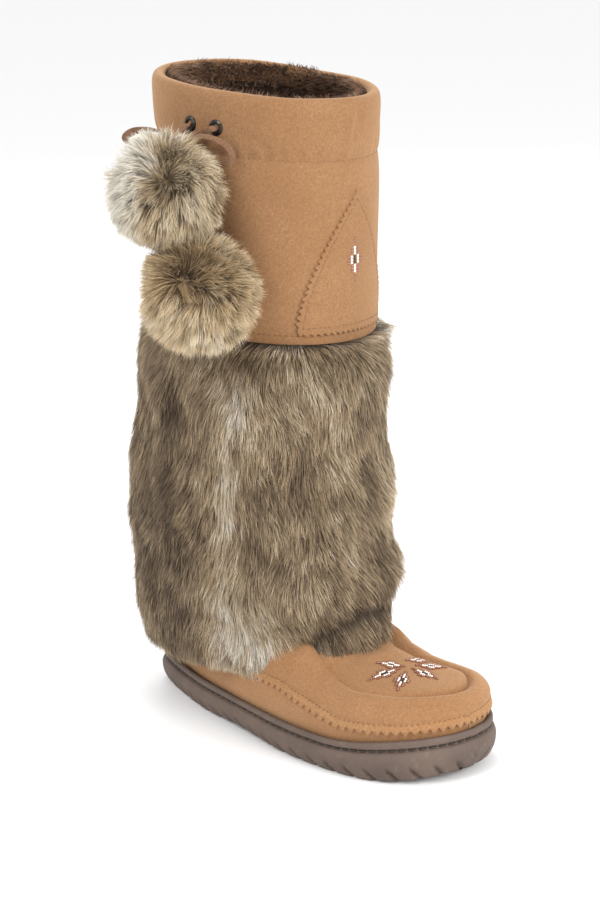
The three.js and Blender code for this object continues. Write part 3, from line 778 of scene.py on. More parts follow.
def make_laces():
    made = {}
    for name, route in ROUTES.items():
        path = resample(rounded(route, 12), step=1.1)
        outwards = path - LACE_MIDDLE
        outwards[:, 2] *= 0.2
        along = np.gradient(path, axis=0)
        wide = unit(np.cross(along, outwards))
        twist = 0.35 * np.sin(np.linspace(0, 5, len(path)))
        broad = LACE_WIDTH
        if "loop" in name:
            broad, twist = LOOP_WIDTH, twist + LOOP_TWIST
        wide = wide * np.cos(twist)[:, None] + unit(outwards) * np.sin(twist)[:, None]
        verts, quads, caps = tube(path, broad, LACE_THICK, wide, sides=12, taper=0.6)
        obj = build(name + "_strip", verts, [quads, caps], LACE)
        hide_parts(*LACE_STANDS_FOR[name])
        made[name] = (obj, path)
    s = np.linspace(0, TAU, 90)
    ring = 2 + np.cos(3 * s)
    knot = np.stack([ring * np.cos(2 * s), np.sin(3 * s) * 1.15, ring * np.sin(2 * s)], 1)
    knot = knot * KNOT_SCALE + KNOT_AT + [0, -0.6, 0]
    wide = np.tile([0, 1.0, 0.25], (len(knot), 1))
    verts, quads, caps = tube(knot, KNOT_WIDTH, KNOT_THICK, wide, sides=10)
    tied = build("lace_knot_tied", verts, [quads, caps], LACE)
    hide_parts("lace_knot")
    return made, tied


laces, tied = make_laces()


# ---- cuff ----
HEM_STITCH_Z, CASING_Z, COLLAR_Z = 271.1, 378.5, 414.0
# Each eyelet's turn in degrees and its height; the suede lies flat round it.
EYELETS = [(-91, 393.5), (-75.5, 392.5)]
SUEDE_OUT = 1.5
# The cuff's suede from its hem up the outside, over the rolled rim and a little way down inside:
# s is the height up the table, z the ring's height, grow how far it stands outside the shaft's form.
CUFF = {
    "s": [0, 0.02, 0.04, 0.08, 0.5, 0.66, 0.715, 0.73, 0.745,
          0.78, 0.84, 0.885, 0.91, 0.935, 0.955, 0.975, 1.0],
    "z": [268.5, 265.6, 265.4, 268.6, 336, 368, 375.6, 378.5, 381.2,
          387, 401, 410.5, 414.6, 416.0, 414.8, 411, 402],
    "grow": [0.4, 0.5, 1.7, 1.9, 1.5, 1.5, 1.2, 0.6, 1.1, 1.5, 1.3, 0.9, -0.4, -3.4, -6.6, -7.8, -5.4],
}
cuff_z, cuff_grow = column(CUFF, "s", "z"), column(CUFF, "s", "grow")
# Turns at which the drawstring gathers the casing between its eyelets.
GATHERS = (-1.72, -1.45, -1.18)
# Wrinkles of the cuff: turn in degrees, height, slope in mm for each degree, and depth in mm.
WRINKLES = [(-62, 356, 0.35, 0.9), (-84, 336, -0.25, 0.8), (-48, 318, 0.3, 0.7), (-104, 352, 0.2, 0.8),
            (-76, 296, 0.2, 0.6), (-34, 290, -0.2, 0.6), (80, 320, -0.3, 0.8), (140, 345, 0.2, 0.8)]


def cuff_relief(points, angle, z):
    """Soft dents and folds of the cuff, millimetres outwards."""
    soft = 1.1 * noise(points, 62, 1.3) + 0.5 * noise(points, 27, 5.1)
    # A soft upright fold above the patch, and the pucker that the front eyelet pulls.
    fold = -1.5 * bump(angle, math.radians(2), 0.05) * between(z, 352, 372, 404, 413)
    fold = fold + 1.1 * bump(angle, math.radians(-4), 0.05) * between(z, 356, 372, 404, 413)
    # Slack wrinkles below the casing.
    for middle, at_z, slope, deep in WRINKLES:
        turn_off = np.degrees(angle) - middle
        height, reach = z - slope * turn_off, bump(turn_off, 0, 15)
        fold = fold - deep * bump(height, at_z, 3.4) * reach
        fold = fold + 0.6 * deep * bump(height, at_z + 6.5, 4.4) * reach
    pucker = -0.9 * bump(z + 30 * (angle + 0.95), 388, 3.0) * bump(angle, -1.0, 0.16)
    for middle in GATHERS:
        pucker = pucker - 0.7 * bump(angle, middle, 0.035) * bump(z, 392, 12)
    # The front sags in a little between the casing and the patch.
    fold = fold - 2.0 * bump(angle, 0.1, 0.6) * between(z, 285, 330, 392, 408)
    gather = 0.55 * np.sin(angle * 44 + 2 * noise(points * [1, 1, 0], 21)) * bump(z, CASING_Z + 3.5, 4.5)
    hem = -0.7 * bump(z, HEM_STITCH_Z, 0.9)
    return soft + fold + pucker + gather * 0.7 + hem


def make_cuff():
    around = 340
    angle = np.arange(around) * TAU / around
    stretches = ((0, 0.08, 8), (0.08, 0.69, 26), (0.69, 0.79, 18), (0.79, 1.0, 35))
    s = np.concatenate([[0]] + [np.linspace(low, high, count)[1:] for low, high, count in stretches])
    rings = []
    for here in s:
        z, grow = float(cuff_z(here)), float(cuff_grow(here))
        ring_z = min(z, COLLAR_Z)
        plain = shaft_point(angle, ring_z)
        plain[:, 2] += z - ring_z
        relief = cuff_relief(plain, np.where(angle > math.pi, angle - TAU, angle), z)
        inside = smoothstep(here, 0.88, 0.93)
        relief = relief * (1 - 0.55 * inside)
        for eyelet_angle, eyelet_z in EYELETS:
            off = (angle - math.radians(eyelet_angle) + math.pi) % TAU - math.pi
            near = bump(off, 0, 0.14) * bump(z, eyelet_z, 9)
            relief = relief * (1 - near) + (0.35 - grow) * near
        p = shaft_point(angle, ring_z, grow + np.maximum(relief, -0.9 - 0.4 * inside))
        # The rim rises and falls a little on its way round.
        p[:, 2] += z - ring_z + noise(plain * [1, 1, 0], 48, 9.2) * smoothstep(here, 0.8, 0.92)
        rings.append(p)
    obj = build("cuff_suede", np.vstack(rings), grid_faces(len(rings), around), SUEDE_CUFF)
    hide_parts("upper")
    return obj


cuff = make_cuff()
cuff_tree = tree_of(cuff)


# ---- stitches, beads and pinked edges ----
def dash_row(joined, tree, path, pitch, length, thick, lift, closed=False):
    """Stitches along a path, each a short rounded bar lying on the surface."""
    path = resample(path, step=pitch, closed=closed)
    places, normals = snap(tree, path)
    along = np.roll(places, -1, axis=0) - np.roll(places, 1, axis=0)
    if not closed:
        along[0], along[-1] = places[1] - places[0], places[-1] - places[-2]
    for place, normal, way in zip(places, normals, unit(along)):
        s = np.array([-0.5, -0.25, 0.25, 0.5])
        rise = np.array([-0.35, 0.1, 0.1, -0.35]) * thick + lift
        line = place + way * (s * length)[:, None] + normal * rise[:, None]
        wide = np.tile(np.cross(way, normal), (4, 1))
        joined.add(*tube(line, thick, thick, wide, sides=6, taper=0.6))


BEAD_SIZE = 1.95
BEAD_PALETTE = (1.0, 0.5, 0.0)
BEAD_SIDES = 8
bead_rings = [(math.cos(a) * math.cos(b), math.sin(a) * math.cos(b), math.sin(b))
              for b in (-0.9, 0, 0.9) for a in np.arange(BEAD_SIDES) * TAU / BEAD_SIDES]
BALL_VERTS = np.array(bead_rings + [(0, 0, -1), (0, 0, 1)])
BALL_QUADS = grid_faces(3, BEAD_SIDES)
bead_turns = [(j, (j + 1) % BEAD_SIDES) for j in range(BEAD_SIDES)]
BALL_TRIS = np.array([(k, j, 24) for j, k in bead_turns] + [(16 + j, 16 + k, 25) for j, k in bead_turns])


def bead_motif(joined, tree, start, way, pitch, column_gap, size=BEAD_SIZE):
    """Pointed diamond of beads in threes: black in the middle, then pale, then copper towards its edge."""
    start, way = np.asarray(start, float), unit(np.asarray(way, float))
    _, normal = snap(tree, [start])
    side = unit(np.cross(way, normal[0]))
    places, kinds = [], []
    for across in range(-2, 3):
        for group in range(-2, 3):
            distance = abs(across) + abs(group)
            if distance > 2:
                continue
            for k in range(3):
                along = (2 + group) * 3 + k + 0.5
                places.append(start + way * along * pitch + side * across * column_gap)
                kinds.append(distance)
    places, normals = snap(tree, places, 0.42)
    for place, kind in zip(places, kinds):
        ball = BALL_VERTS * (size / 2) * [1, 1, 0.94] + place
        joined.add(ball, BALL_QUADS, BALL_TRIS, (BEAD_PALETTE[kind], 0.5))


def pinked_strip(joined, tree, path, tooth, depth, back, thick):
    """Strip whose lower edge is cut in a zigzag, along a path on a surface."""
    per = 6
    length = np.linalg.norm(np.diff(path, axis=0), axis=1).sum()
    count = int(round(length / tooth)) * per + 1
    path = resample(path, count=count)
    phase = (np.arange(count) % per) / per
    reach = depth * (1 - np.abs(2 * phase - 1))
    # Each row's drop from the path and its lift off the surface, from the upper edge to under the teeth.
    rows_at = [(-back, -0.45), (-back * 0.55, 0.1), (-1.2, thick * 0.85),
               (reach - 0.25, thick), (reach, thick * 0.8), (reach, -0.4)]
    rows = []
    for drop, lift in rows_at:
        far = np.broadcast_to(drop, count)
        placed, _ = snap(tree, path + DOWN * far[:, None], lift)
        rows.append(placed)
    joined.add(np.vstack(rows), grid_faces(len(rows), count, wrap=False))


def seam_path(rise_extra=0.0):
    """The foot piece's lower edge, or a line above it, from the outer side round to the inner side."""
    turns = np.linspace(2.05, 0.02, 420)
    sides = []
    for outer in (True, False):
        points = []
        for turn in turns:
            p = outline_point(np.array([turn]), np.array([-LIP_WIDTH]))[0]
            t = min(max(p[0] / LENGTH, 0), 1)
            spring, crown = float(lip_at(t)) + 1, float(crown_at(t))
            z = float(lip_at(t) + seam_rise(t * LENGTH)) + rise_extra
            share = (z - spring) / (crown - spring)
            if share >= 0.999:
                break
            arc = math.asin(max(share, 0) ** (float(square_at(t)) / 2))
            points.append(foot_point(turn, math.pi - arc if outer else arc, 0.0))
        sides.append(points)
    return resample(np.array(sides[0] + sides[1][::-1]), step=1.0)


stitches, casing_stitches, pinked, beads = Joined(), Joined(), Joined(), Joined()
seam = seam_path()
pinked_strip(pinked, foot_tree, seam, tooth=5.7, depth=3.3, back=5.0, thick=1.8)
dash_row(stitches, foot_tree, seam_path(3.0), pitch=3.3, length=2.2, thick=0.65, lift=0.02)

# The flower's petals: start (x, y), way in degrees seen from above, and length.
PETALS = [((218.4, -0.1), -95, 27.5), ((218.5, 3.8), -146, 19), ((223.7, -0.4), -59, 28),
          ((222.9, 4.9), 3, 21.5), ((220.7, 10.6), 44, 20), ((211.5, 11.5), 62, 16)]
for (start_x, start_y), degrees, petal_length in PETALS:
    heading = math.radians(degrees)
    bead_motif(beads, foot_tree, (start_x, start_y, 56), (math.cos(heading), math.sin(heading), 0),
               pitch=petal_length / 15, column_gap=2.1)

round_angle = np.linspace(0, TAU, 720, endpoint=False)
casing_line = shaft_point(round_angle, CASING_Z, 1.0)
dash_row(casing_stitches, cuff_tree, casing_line, pitch=3.6, length=2.1, thick=0.42, lift=0.0, closed=True)
hem_line = shaft_point(round_angle, HEM_STITCH_Z, 1.4)
dash_row(stitches, cuff_tree, hem_line, pitch=3.4, length=2.1, thick=0.7, lift=0.1, closed=True)

# ---- front patch: a pinked teardrop of suede on the cuff ----
PATCH = {"apex": 353.0, "shoulder": 311.0, "spread": 0.9, "bottom": 271.5, "half": 37.0, "mid": 5.6}
PATCH_THICK, PATCH_TOOTH, TOOTH_DEPTH = 1.3, 4.0, 1.25


def patch_side(count):
    """One side of the patch from its apex to its lower corner: distance from the middle, and height."""
    s = np.linspace(0, 1, count)[:, None]
    a = np.array([0, PATCH["apex"]])
    b = np.array([PATCH["half"] * PATCH["spread"], PATCH["shoulder"]])
    c = np.array([PATCH["half"], PATCH["bottom"]])
    return a * (1 - s) ** 2 + 2 * b * s * (1 - s) + c * s**2


def on_shaft_front(y, z, grow):
    """Point of the shaft's front at a place across it and a height."""
    half = shaft["half"](z) + grow
    angle = np.arcsin(np.clip((y - SHAFT_MID_Y) / half, -1, 1))
    p = shaft_point(angle, z, grow)
    p[..., 2] = z
    return p


def zigzag(along):
    """The pinked edge's teeth, in and out along it."""
    return TOOTH_DEPTH * (np.abs(2 * ((along / PATCH_TOOTH) % 1) - 1) * 2 - 1)


def make_patch():
    side = patch_side(160)
    rows, columns = 150, 91
    z = np.linspace(PATCH["apex"] + 1.0, PATCH["bottom"] - 5, rows)
    along = np.r_[0, np.cumsum(np.linalg.norm(np.diff(side, axis=0), axis=1))]
    half = np.interp(-z, -side[:, 1], side[:, 0])
    run = np.interp(-z, -side[:, 1], along)
    half = np.maximum(half + zigzag(run) * smoothstep(run, 0, 9), 0.4) - 3.0 * smoothstep(z, 271, 265) ** 2
    share = np.linspace(-1, 1, columns)
    y = PATCH["mid"] + half[:, None] * share[None, :]
    drop = (1 - smoothstep(z, PATCH["bottom"] - 5, PATCH["bottom"] + 8))[:, None]
    high = np.broadcast_to(z[:, None], y.shape) + zigzag(y) * drop
    body = on_shaft_front(y, high, SUEDE_OUT)
    placed, normals = snap(cuff_tree, body.reshape(-1, 3))
    placed, normals = placed.reshape(body.shape), normals.reshape(body.shape)
    top = placed + normals * PATCH_THICK
    # All round, the sheet's rim turns in under the cuff's surface.
    sheet = np.pad(placed + normals * -0.6, ((1, 1), (1, 1), (0, 0)), mode="edge")
    sheet[1:-1, 1:-1] = top
    faces = grid_faces(sheet.shape[0], sheet.shape[1], wrap=False)
    obj = build("front_patch_suede", sheet.reshape(-1, 3), faces, SUEDE_CUFF)
    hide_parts("front_patch")
    return obj


patch = make_patch()
patch_tree = tree_of(patch)
patch_edge = patch_side(90)
along_edge = unit(np.gradient(patch_edge, axis=0))
inward = patch_edge + 2.7 * np.stack([along_edge[:, 1], -along_edge[:, 0]], 1)
inward = inward[(inward[:, 0] > 0.5) & (inward[:, 1] > HEM_STITCH_Z + 0.9)]
for hand in (-1, 1):
    line = on_shaft_front(PATCH["mid"] + hand * inward[:, 0], inward[:, 1], SUEDE_OUT + 1)
    dash_row(stitches, patch_tree, line, pitch=3.3, length=2.0, thick=0.7, lift=0.08)
across = np.linspace(-0.92, 0.92, 60) * PATCH["half"]
line = on_shaft_front(PATCH["mid"] + across, np.full(60, HEM_STITCH_Z), SUEDE_OUT + 1)
dash_row(stitches, patch_tree, line, pitch=3.3, length=2.0, thick=0.7, lift=0.08)
bead_start = on_shaft_front(np.array([4.2]), np.array([325]), 3)[0]
bead_motif(beads, patch_tree, bead_start, (0, 0.04, -1), pitch=1.85, column_gap=2.7, size=2.4)

stitches.make("suede_stitches", THREAD, "suede")
casing_stitches.make("casing_stitches", THREAD, "suede")
# The pinked edge uses the lighter suede: painted light on the raised teeth.
pinked.make("foot_pinked_edge", SUEDE_LIT_EDGE, "suede")
beads.make("glass_beads", BEADS, "eyelet_metal", uv=True)


# ---- fur ----
FUR_DEPTH = 5.5
HEM_DEPTH = 1.6
HEM = {"x": [-15, 20, 72, 117, 150, 165, 180, 193, 200], "z": [31, 34, 40, 45, 35, 41, 53, 64, 68]}
hem_by_x = column(HEM, "x", "z")


def fur_hem(x, y):
    """Height of the fur's lower edge; it climbs a little on the inner side of the vamp."""
    return hem_by_x(x) + 11 * smoothstep(y, 4, 34) * smoothstep(x, 150, 190)


# Patches of the pelt: turn in degrees, fur row, width in degrees and in rows, and change of tone.
FUR_PATCHES = [
    (-61, 9.8, 7, 1.6, 0.30), (-67, 7.2, 5, 1.8, 0.40), (-72, 4.7, 5, 1.5, 0.40),
    (-77, 2.6, 8, 1.0, 0.3), (-62, 3.0, 17, 1.2, 0.34), (-48, 2.4, 14, 0.9, 0.22),
    (-96, 8.8, 10, 1.8, -0.26), (-92, 5.3, 8, 1.8, -0.22), (-118, 5.5, 12, 2.0, -0.16),
    (-33, 8.3, 9, 1.8, -0.14), (-40, 5.5, 12, 1.5, 0.04), (-14, 7.6, 10, 2.2, 0.13),
    (-33, 11.2, 16, 1.2, 0.12), (2, 6.6, 7, 2.4, -0.24), (-106, 3.7, 9, 1.2, -0.14),
    (-110, 11.5, 12, 1.3, -0.22), (-22, 3.4, 22, 0.5, -0.03), (40, 8, 18, 2.4, 0.12),
    (90, 6, 24, 3, -0.12), (150, 8, 24, 3, 0.1), (120, 3, 24, 1.4, 0.16), (-150, 9, 14, 2.5, 0.12),
    (180, 4, 22, 1.8, -0.08),
]
# Fold of the pelt over the instep, with painted shade in it: turn in degrees and fur row.
CREASES = [(8, 4.25), (-4, 4.3), (-14, 4.2), (-24, 4.0), (-32, 3.6), (-39, 3.2), (-46, 2.9)]


def pelt_seam(k):
    """Turn in degrees of the join between two pelts on the outer side."""
    return -67 - 5 * np.sin(k * 0.55)


def fur_point(angle, k, grow=0.0):
    ahead = (1 + np.cos(angle)) / 2
    back, front = fur_row["back"](k) - grow, fur_row["front"](k) + grow
    low, high = fur_row["low"](k), fur_row["high"](k)
    return np.stack(np.broadcast_arrays(back + (front - back) * ahead,
                                        SHAFT_MID_Y * 0.6 + (fur_row["half"](k) + grow) * np.sin(angle),
                                        low + (high - low) * ahead), -1)


def root_depth(k):
    """How far under the fur's surface its hairs are rooted: less near the hem."""
    return HEM_DEPTH + (FUR_DEPTH - HEM_DEPTH) * smoothstep(k, 0.6, 3.2) - 3.4 * smoothstep(k, 11.4, 12.8)


def turned(degrees):
    return (degrees + 180) % 360 - 180


def fur_puff(angle, k):
    """How far the pelt swells or sinks, millimetres."""
    plain = fur_point(angle, k)
    puff = 3.2 * noise(plain, 46, 2.2) + 1.5 * noise(plain, 19, 6.1)
    degrees = np.degrees(angle)
    for d, row_at in CREASES:
        puff = puff - 8.0 * bump(turned(degrees - d), 0, 7.5) * bump(k, row_at, 0.28)
        puff = puff + 1.6 * bump(turned(degrees - d), 0, 9.0) * bump(k, row_at - 0.75, 0.4)
    puff = puff - 2.4 * bump(turned(degrees - pelt_seam(k)), 0, 2.2) * (0.55 + 0.45 * np.sin(k * 3.1))
    return puff * between(k, 0.2, 1.6, 12.2, 13)


def foot_share(points):
    """Under 1 inside the foot's form, over 1 outside it."""
    x, y, z = points.T
    t = np.clip(x / LENGTH, 0.003, 0.997)
    side = np.where(y > 0, inner_half(t), outer_half(t)) - LIP_WIDTH + 1.6
    spring = lip_at(t) + 1
    high = np.clip(z - spring, 0, None) / (crown_at(t) - spring)
    square = square_at(t)
    return (np.abs(y) / np.maximum(side, 1)) ** square + high**square


def surface_frame(angle, k):
    """Directions round the fur, down it and out of it."""
    step = 0.01
    a = unit(fur_point(angle + step, k) - fur_point(angle - step, k))
    b = unit(fur_point(angle, k - step) - fur_point(angle, k + step))
    out = unit(np.cross(b, a))
    return a, np.cross(a, out), out


def ribbons(root, middle, tip, side, width):
    """Tapered hairs of three triangles each: their vertices and triangles."""
    half = (width / 2)[:, None] * side
    verts = np.stack([root - half, root + half, middle - half * 0.85, middle + half * 0.85, tip], 1)
    count = len(root)
    base = (np.arange(count) * 5)[:, None, None]
    tris = np.array([[0, 1, 3], [0, 3, 2], [2, 3, 4]])[None] + base
    return verts.reshape(-1, 3), tris.reshape(-1, 3)


def palette(tone):
    """Palette places for hairs of these tones."""
    u = np.tile([0.0, 0.0, 0.5, 0.5, 1.0], len(tone))
    return np.stack([u, np.repeat(np.clip(tone, 0.01, 0.99), 5)], 1)


FUR_STRANDS = 152000
FUR_PANELS = 4
FUR_LENGTH, FUR_WIDTH, STRAY_SHARE = 14.0, 0.36, 0.03
FUR_ROWS = 13


def make_fur():
    around, up = 150, 76
    angle = np.arange(around) * TAU / around
    k = np.linspace(0, FUR_ROWS, up)
    grid_angle, grid_k = np.meshgrid(angle, k)
    base = fur_point(grid_angle, grid_k, fur_puff(grid_angle, grid_k) - root_depth(grid_k))
    skin = build("fur_underlayer", base.reshape(-1, 3), grid_faces(up, around), FUR_SKIN)
    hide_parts("fur_shaft")

    rng = np.random.default_rng(11)
    cells_a, cells_k = 240, 130
    ca = (np.arange(cells_a) + 0.5) * TAU / cells_a
    ck = (np.arange(cells_k) + 0.5) * FUR_ROWS / cells_k
    ga, gk = np.meshgrid(ca, ck)
    da = fur_point(ga + 0.01, gk) - fur_point(ga - 0.01, gk)
    dk = fur_point(ga, gk + 0.01) - fur_point(ga, gk - 0.01)
    area = np.linalg.norm(np.cross(da, dk), axis=-1)
    roots = fur_point(ga, gk, -root_depth(gk)).reshape(-1, 3)
    outside = (foot_share(roots) >= 0.9).reshape(ga.shape)
    area *= np.where(gk > 12.3, 1.5, 1) * outside
    # The outer front quarter carries a little more hair.
    area *= 1 + 0.25 * np.cos(ga + math.radians(44))
    total = np.cumsum(area.ravel())
    pick = np.searchsorted(total, rng.random(FUR_STRANDS) * total[-1])
    pick = np.clip(pick, 0, area.size - 1)
    angle = ga.ravel()[pick] + (rng.random(FUR_STRANDS) - 0.5) * TAU / cells_a
    k = gk.ravel()[pick] + (rng.random(FUR_STRANDS) - 0.5) * FUR_ROWS / cells_k
    root = fur_point(angle, k, fur_puff(angle, k) - root_depth(k))
    a, down, out = surface_frame(angle, k)
    degrees = np.degrees(angle)

    # Clumps: each hair leans towards the middle of its own ragged cell.
    warped_a = angle * 78 + 3.0 * noise(root, 9, 4.4)
    warped_z = root[:, 2] + 4.0 * noise(root, 11, 8.8)
    wide, tall = 4.2, 9.0
    i = np.floor(warped_a / wide).astype(int)
    shift = LATTICE[i % 32, 5, 7]
    j = np.floor(warped_z / tall + shift).astype(int)
    jitter_a = LATTICE[i % 32, j % 32, 3] - 0.5
    jitter_z = LATTICE[j % 32, i % 32, 9] - 0.5
    clump_tone = LATTICE[(i * 7) % 32, (j * 5) % 32, 15]
    pull_a = (i + 0.5 + 0.5 * jitter_a) * wide - warped_a
    pull_z = (j + 0.5 - shift + 0.5 * jitter_z) * tall - warped_z

    behind = smoothstep(-turned(degrees + 67), -4, 4) * smoothstep(turned(degrees + 180), 0, 40)
    sweep = np.where(behind > 0.5, -0.24, 0.16) * smoothstep(np.abs(turned(degrees + 67)), 0, 10)
    sweep = sweep + 0.34 * noise(root, 34, 3.3) + 0.3 * noise(root, 13, 7.7) + rng.normal(0, 0.11, len(k))
    flow = down * np.cos(sweep)[:, None] + a * np.sin(sweep)[:, None]
    length = FUR_LENGTH * varied(rng, len(k), 0.75, 0.5) * (1 + 0.16 * noise(root, 25, 1.1))
    lift = 0.30 + 0.16 * noise(root, 15, 2.9) + 0.14 * rng.random(len(k))
    stray = rng.random(len(k)) < STRAY_SHARE
    lift = np.where(stray, lift + 0.22, lift)
    # Hairs at the hem end just over it.
    hem = fur_hem(root[:, 0], root[:, 1]) - 3.5 * rng.random(len(k))
    room = (root[:, 2] - hem) / np.maximum(-(flow[:, 2]), 0.2)
    keep = (room > 3.0) & (foot_share(root) > 0.9)
    length = np.minimum(length, np.maximum(room, 3.5))
    tuck = smoothstep(k, 11.9, 12.9)
    lift = lift + 0.16 * tuck
    middle = root + flow * (length * 0.5)[:, None] + out * (length * lift * 0.72 + 0.8)[:, None]
    reach = length * np.sqrt(1 - (lift * 0.7) ** 2)
    tip = root + flow * reach[:, None] + out * (length * lift * 1.02 + 0.4)[:, None]
    pull = a * pull_a[:, None] - down * pull_z[:, None] * 0.35
    middle += pull * 0.22
    tip += pull * 0.62
    roll = rng.normal(0, 0.5, len(k))
    side = unit(np.cross(flow, out) * np.cos(roll)[:, None] + out * np.sin(roll)[:, None])
    width = FUR_WIDTH * varied(rng, len(k), 0.7, 0.6)

    tone = 0.42 + 0.15 * noise(root, 30, 0.4) + 0.12 * noise(root, 12, 5.9)
    for d, row_at, wide_d, wide_k, step in FUR_PATCHES:
        tone = tone + step * bump(turned(degrees - d), 0, wide_d) * bump(k, row_at, wide_k)
    tone = tone - 0.28 * bump(turned(degrees - pelt_seam(k)), 0, 1.8) * (0.5 + 0.5 * np.sin(k * 3.1))
    # Painted shade in each fold of the pelt, and painted light on the roll of hair just below it.
    for d, row_at in CREASES:
        tone = tone - 0.32 * bump(turned(degrees - d), 0, 6) * bump(k, row_at + 0.3, 0.24)
        tone = tone + 0.07 * bump(turned(degrees - d), 0, 7) * bump(k, row_at - 0.5, 0.5)
    tone = tone + 0.26 * (clump_tone - 0.5) + rng.normal(0, 0.14, len(k))
    tone = tone + 0.16 * (1 - smoothstep(room, 3, 16)) + 0.16 * tuck
    panel = np.floor((angle % TAU) / TAU * FUR_PANELS).astype(int) % FUR_PANELS
    for n in range(FUR_PANELS):
        m = keep & (panel == n)
        verts, tris = ribbons(root[m], middle[m], tip[m], side[m], width[m])
        build("fur_hair_%d" % (n + 1), verts, tris, FUR_HAIR, palette(tone[m]))


POMPOM_RAMPS = {
    "pompom_upper": [
        (0.0, [(0.0, "2A2219"), (0.4, "594A37"), (0.8, "7E6B52"), (1.0, "6B5A45")]),
        (0.5, [(0.0, "4A3D2D"), (0.4, "9A8463"), (0.75, "CBB591"), (1.0, "DCC9A6")]),
        (1.0, [(0.0, "7A7266"), (0.4, "BDB6A9"), (0.75, "DEDACF"), (1.0, "ECE8DE")]),
    ],
    "pompom_lower": [
        (0.0, [(0.0, "251C13"), (0.4, "523F29"), (0.8, "755D40"), (1.0, "644F37")]),
        (0.5, [(0.0, "463624"), (0.4, "957B58"), (0.75, "C8AE84"), (1.0, "DAC39B")]),
        (1.0, [(0.0, "756A5A"), (0.4, "BCAF97"), (0.75, "DED5C1"), (1.0, "EAE4D4")]),
    ],
}
# The pole is where each ball's hair parts, as right, up and out, seen from the outer front quarter.
POMPOM_POLES = {"pompom_upper": (0.22, 0.22, 0.95), "pompom_lower": (-0.20, 0.42, 0.88)}
POMPOM_STRANDS, POMPOM_LOCKS = 29000, 520
POMPOM_CORE, POMPOM_REACH = 25.0, 38.0
POMPOM_LENGTH, POMPOM_WIDTH = 15.5, 0.37
# Darker spots of the upper ball: right, up, and how dark.
POMPOM_SPOTS = ((0.10, 0.47, 0.36), (-0.02, -0.05, 0.3), (0.12, 0.2, 0.2))
QUARTER = math.radians(46)
QUARTER_RIGHT = np.array([math.cos(QUARTER), math.sin(QUARTER), 0])
QUARTER_OUT = np.array([math.sin(QUARTER) * 0.966, -math.cos(QUARTER) * 0.966, 0.259])
QUARTER_UP = np.cross(QUARTER_OUT, QUARTER_RIGHT)


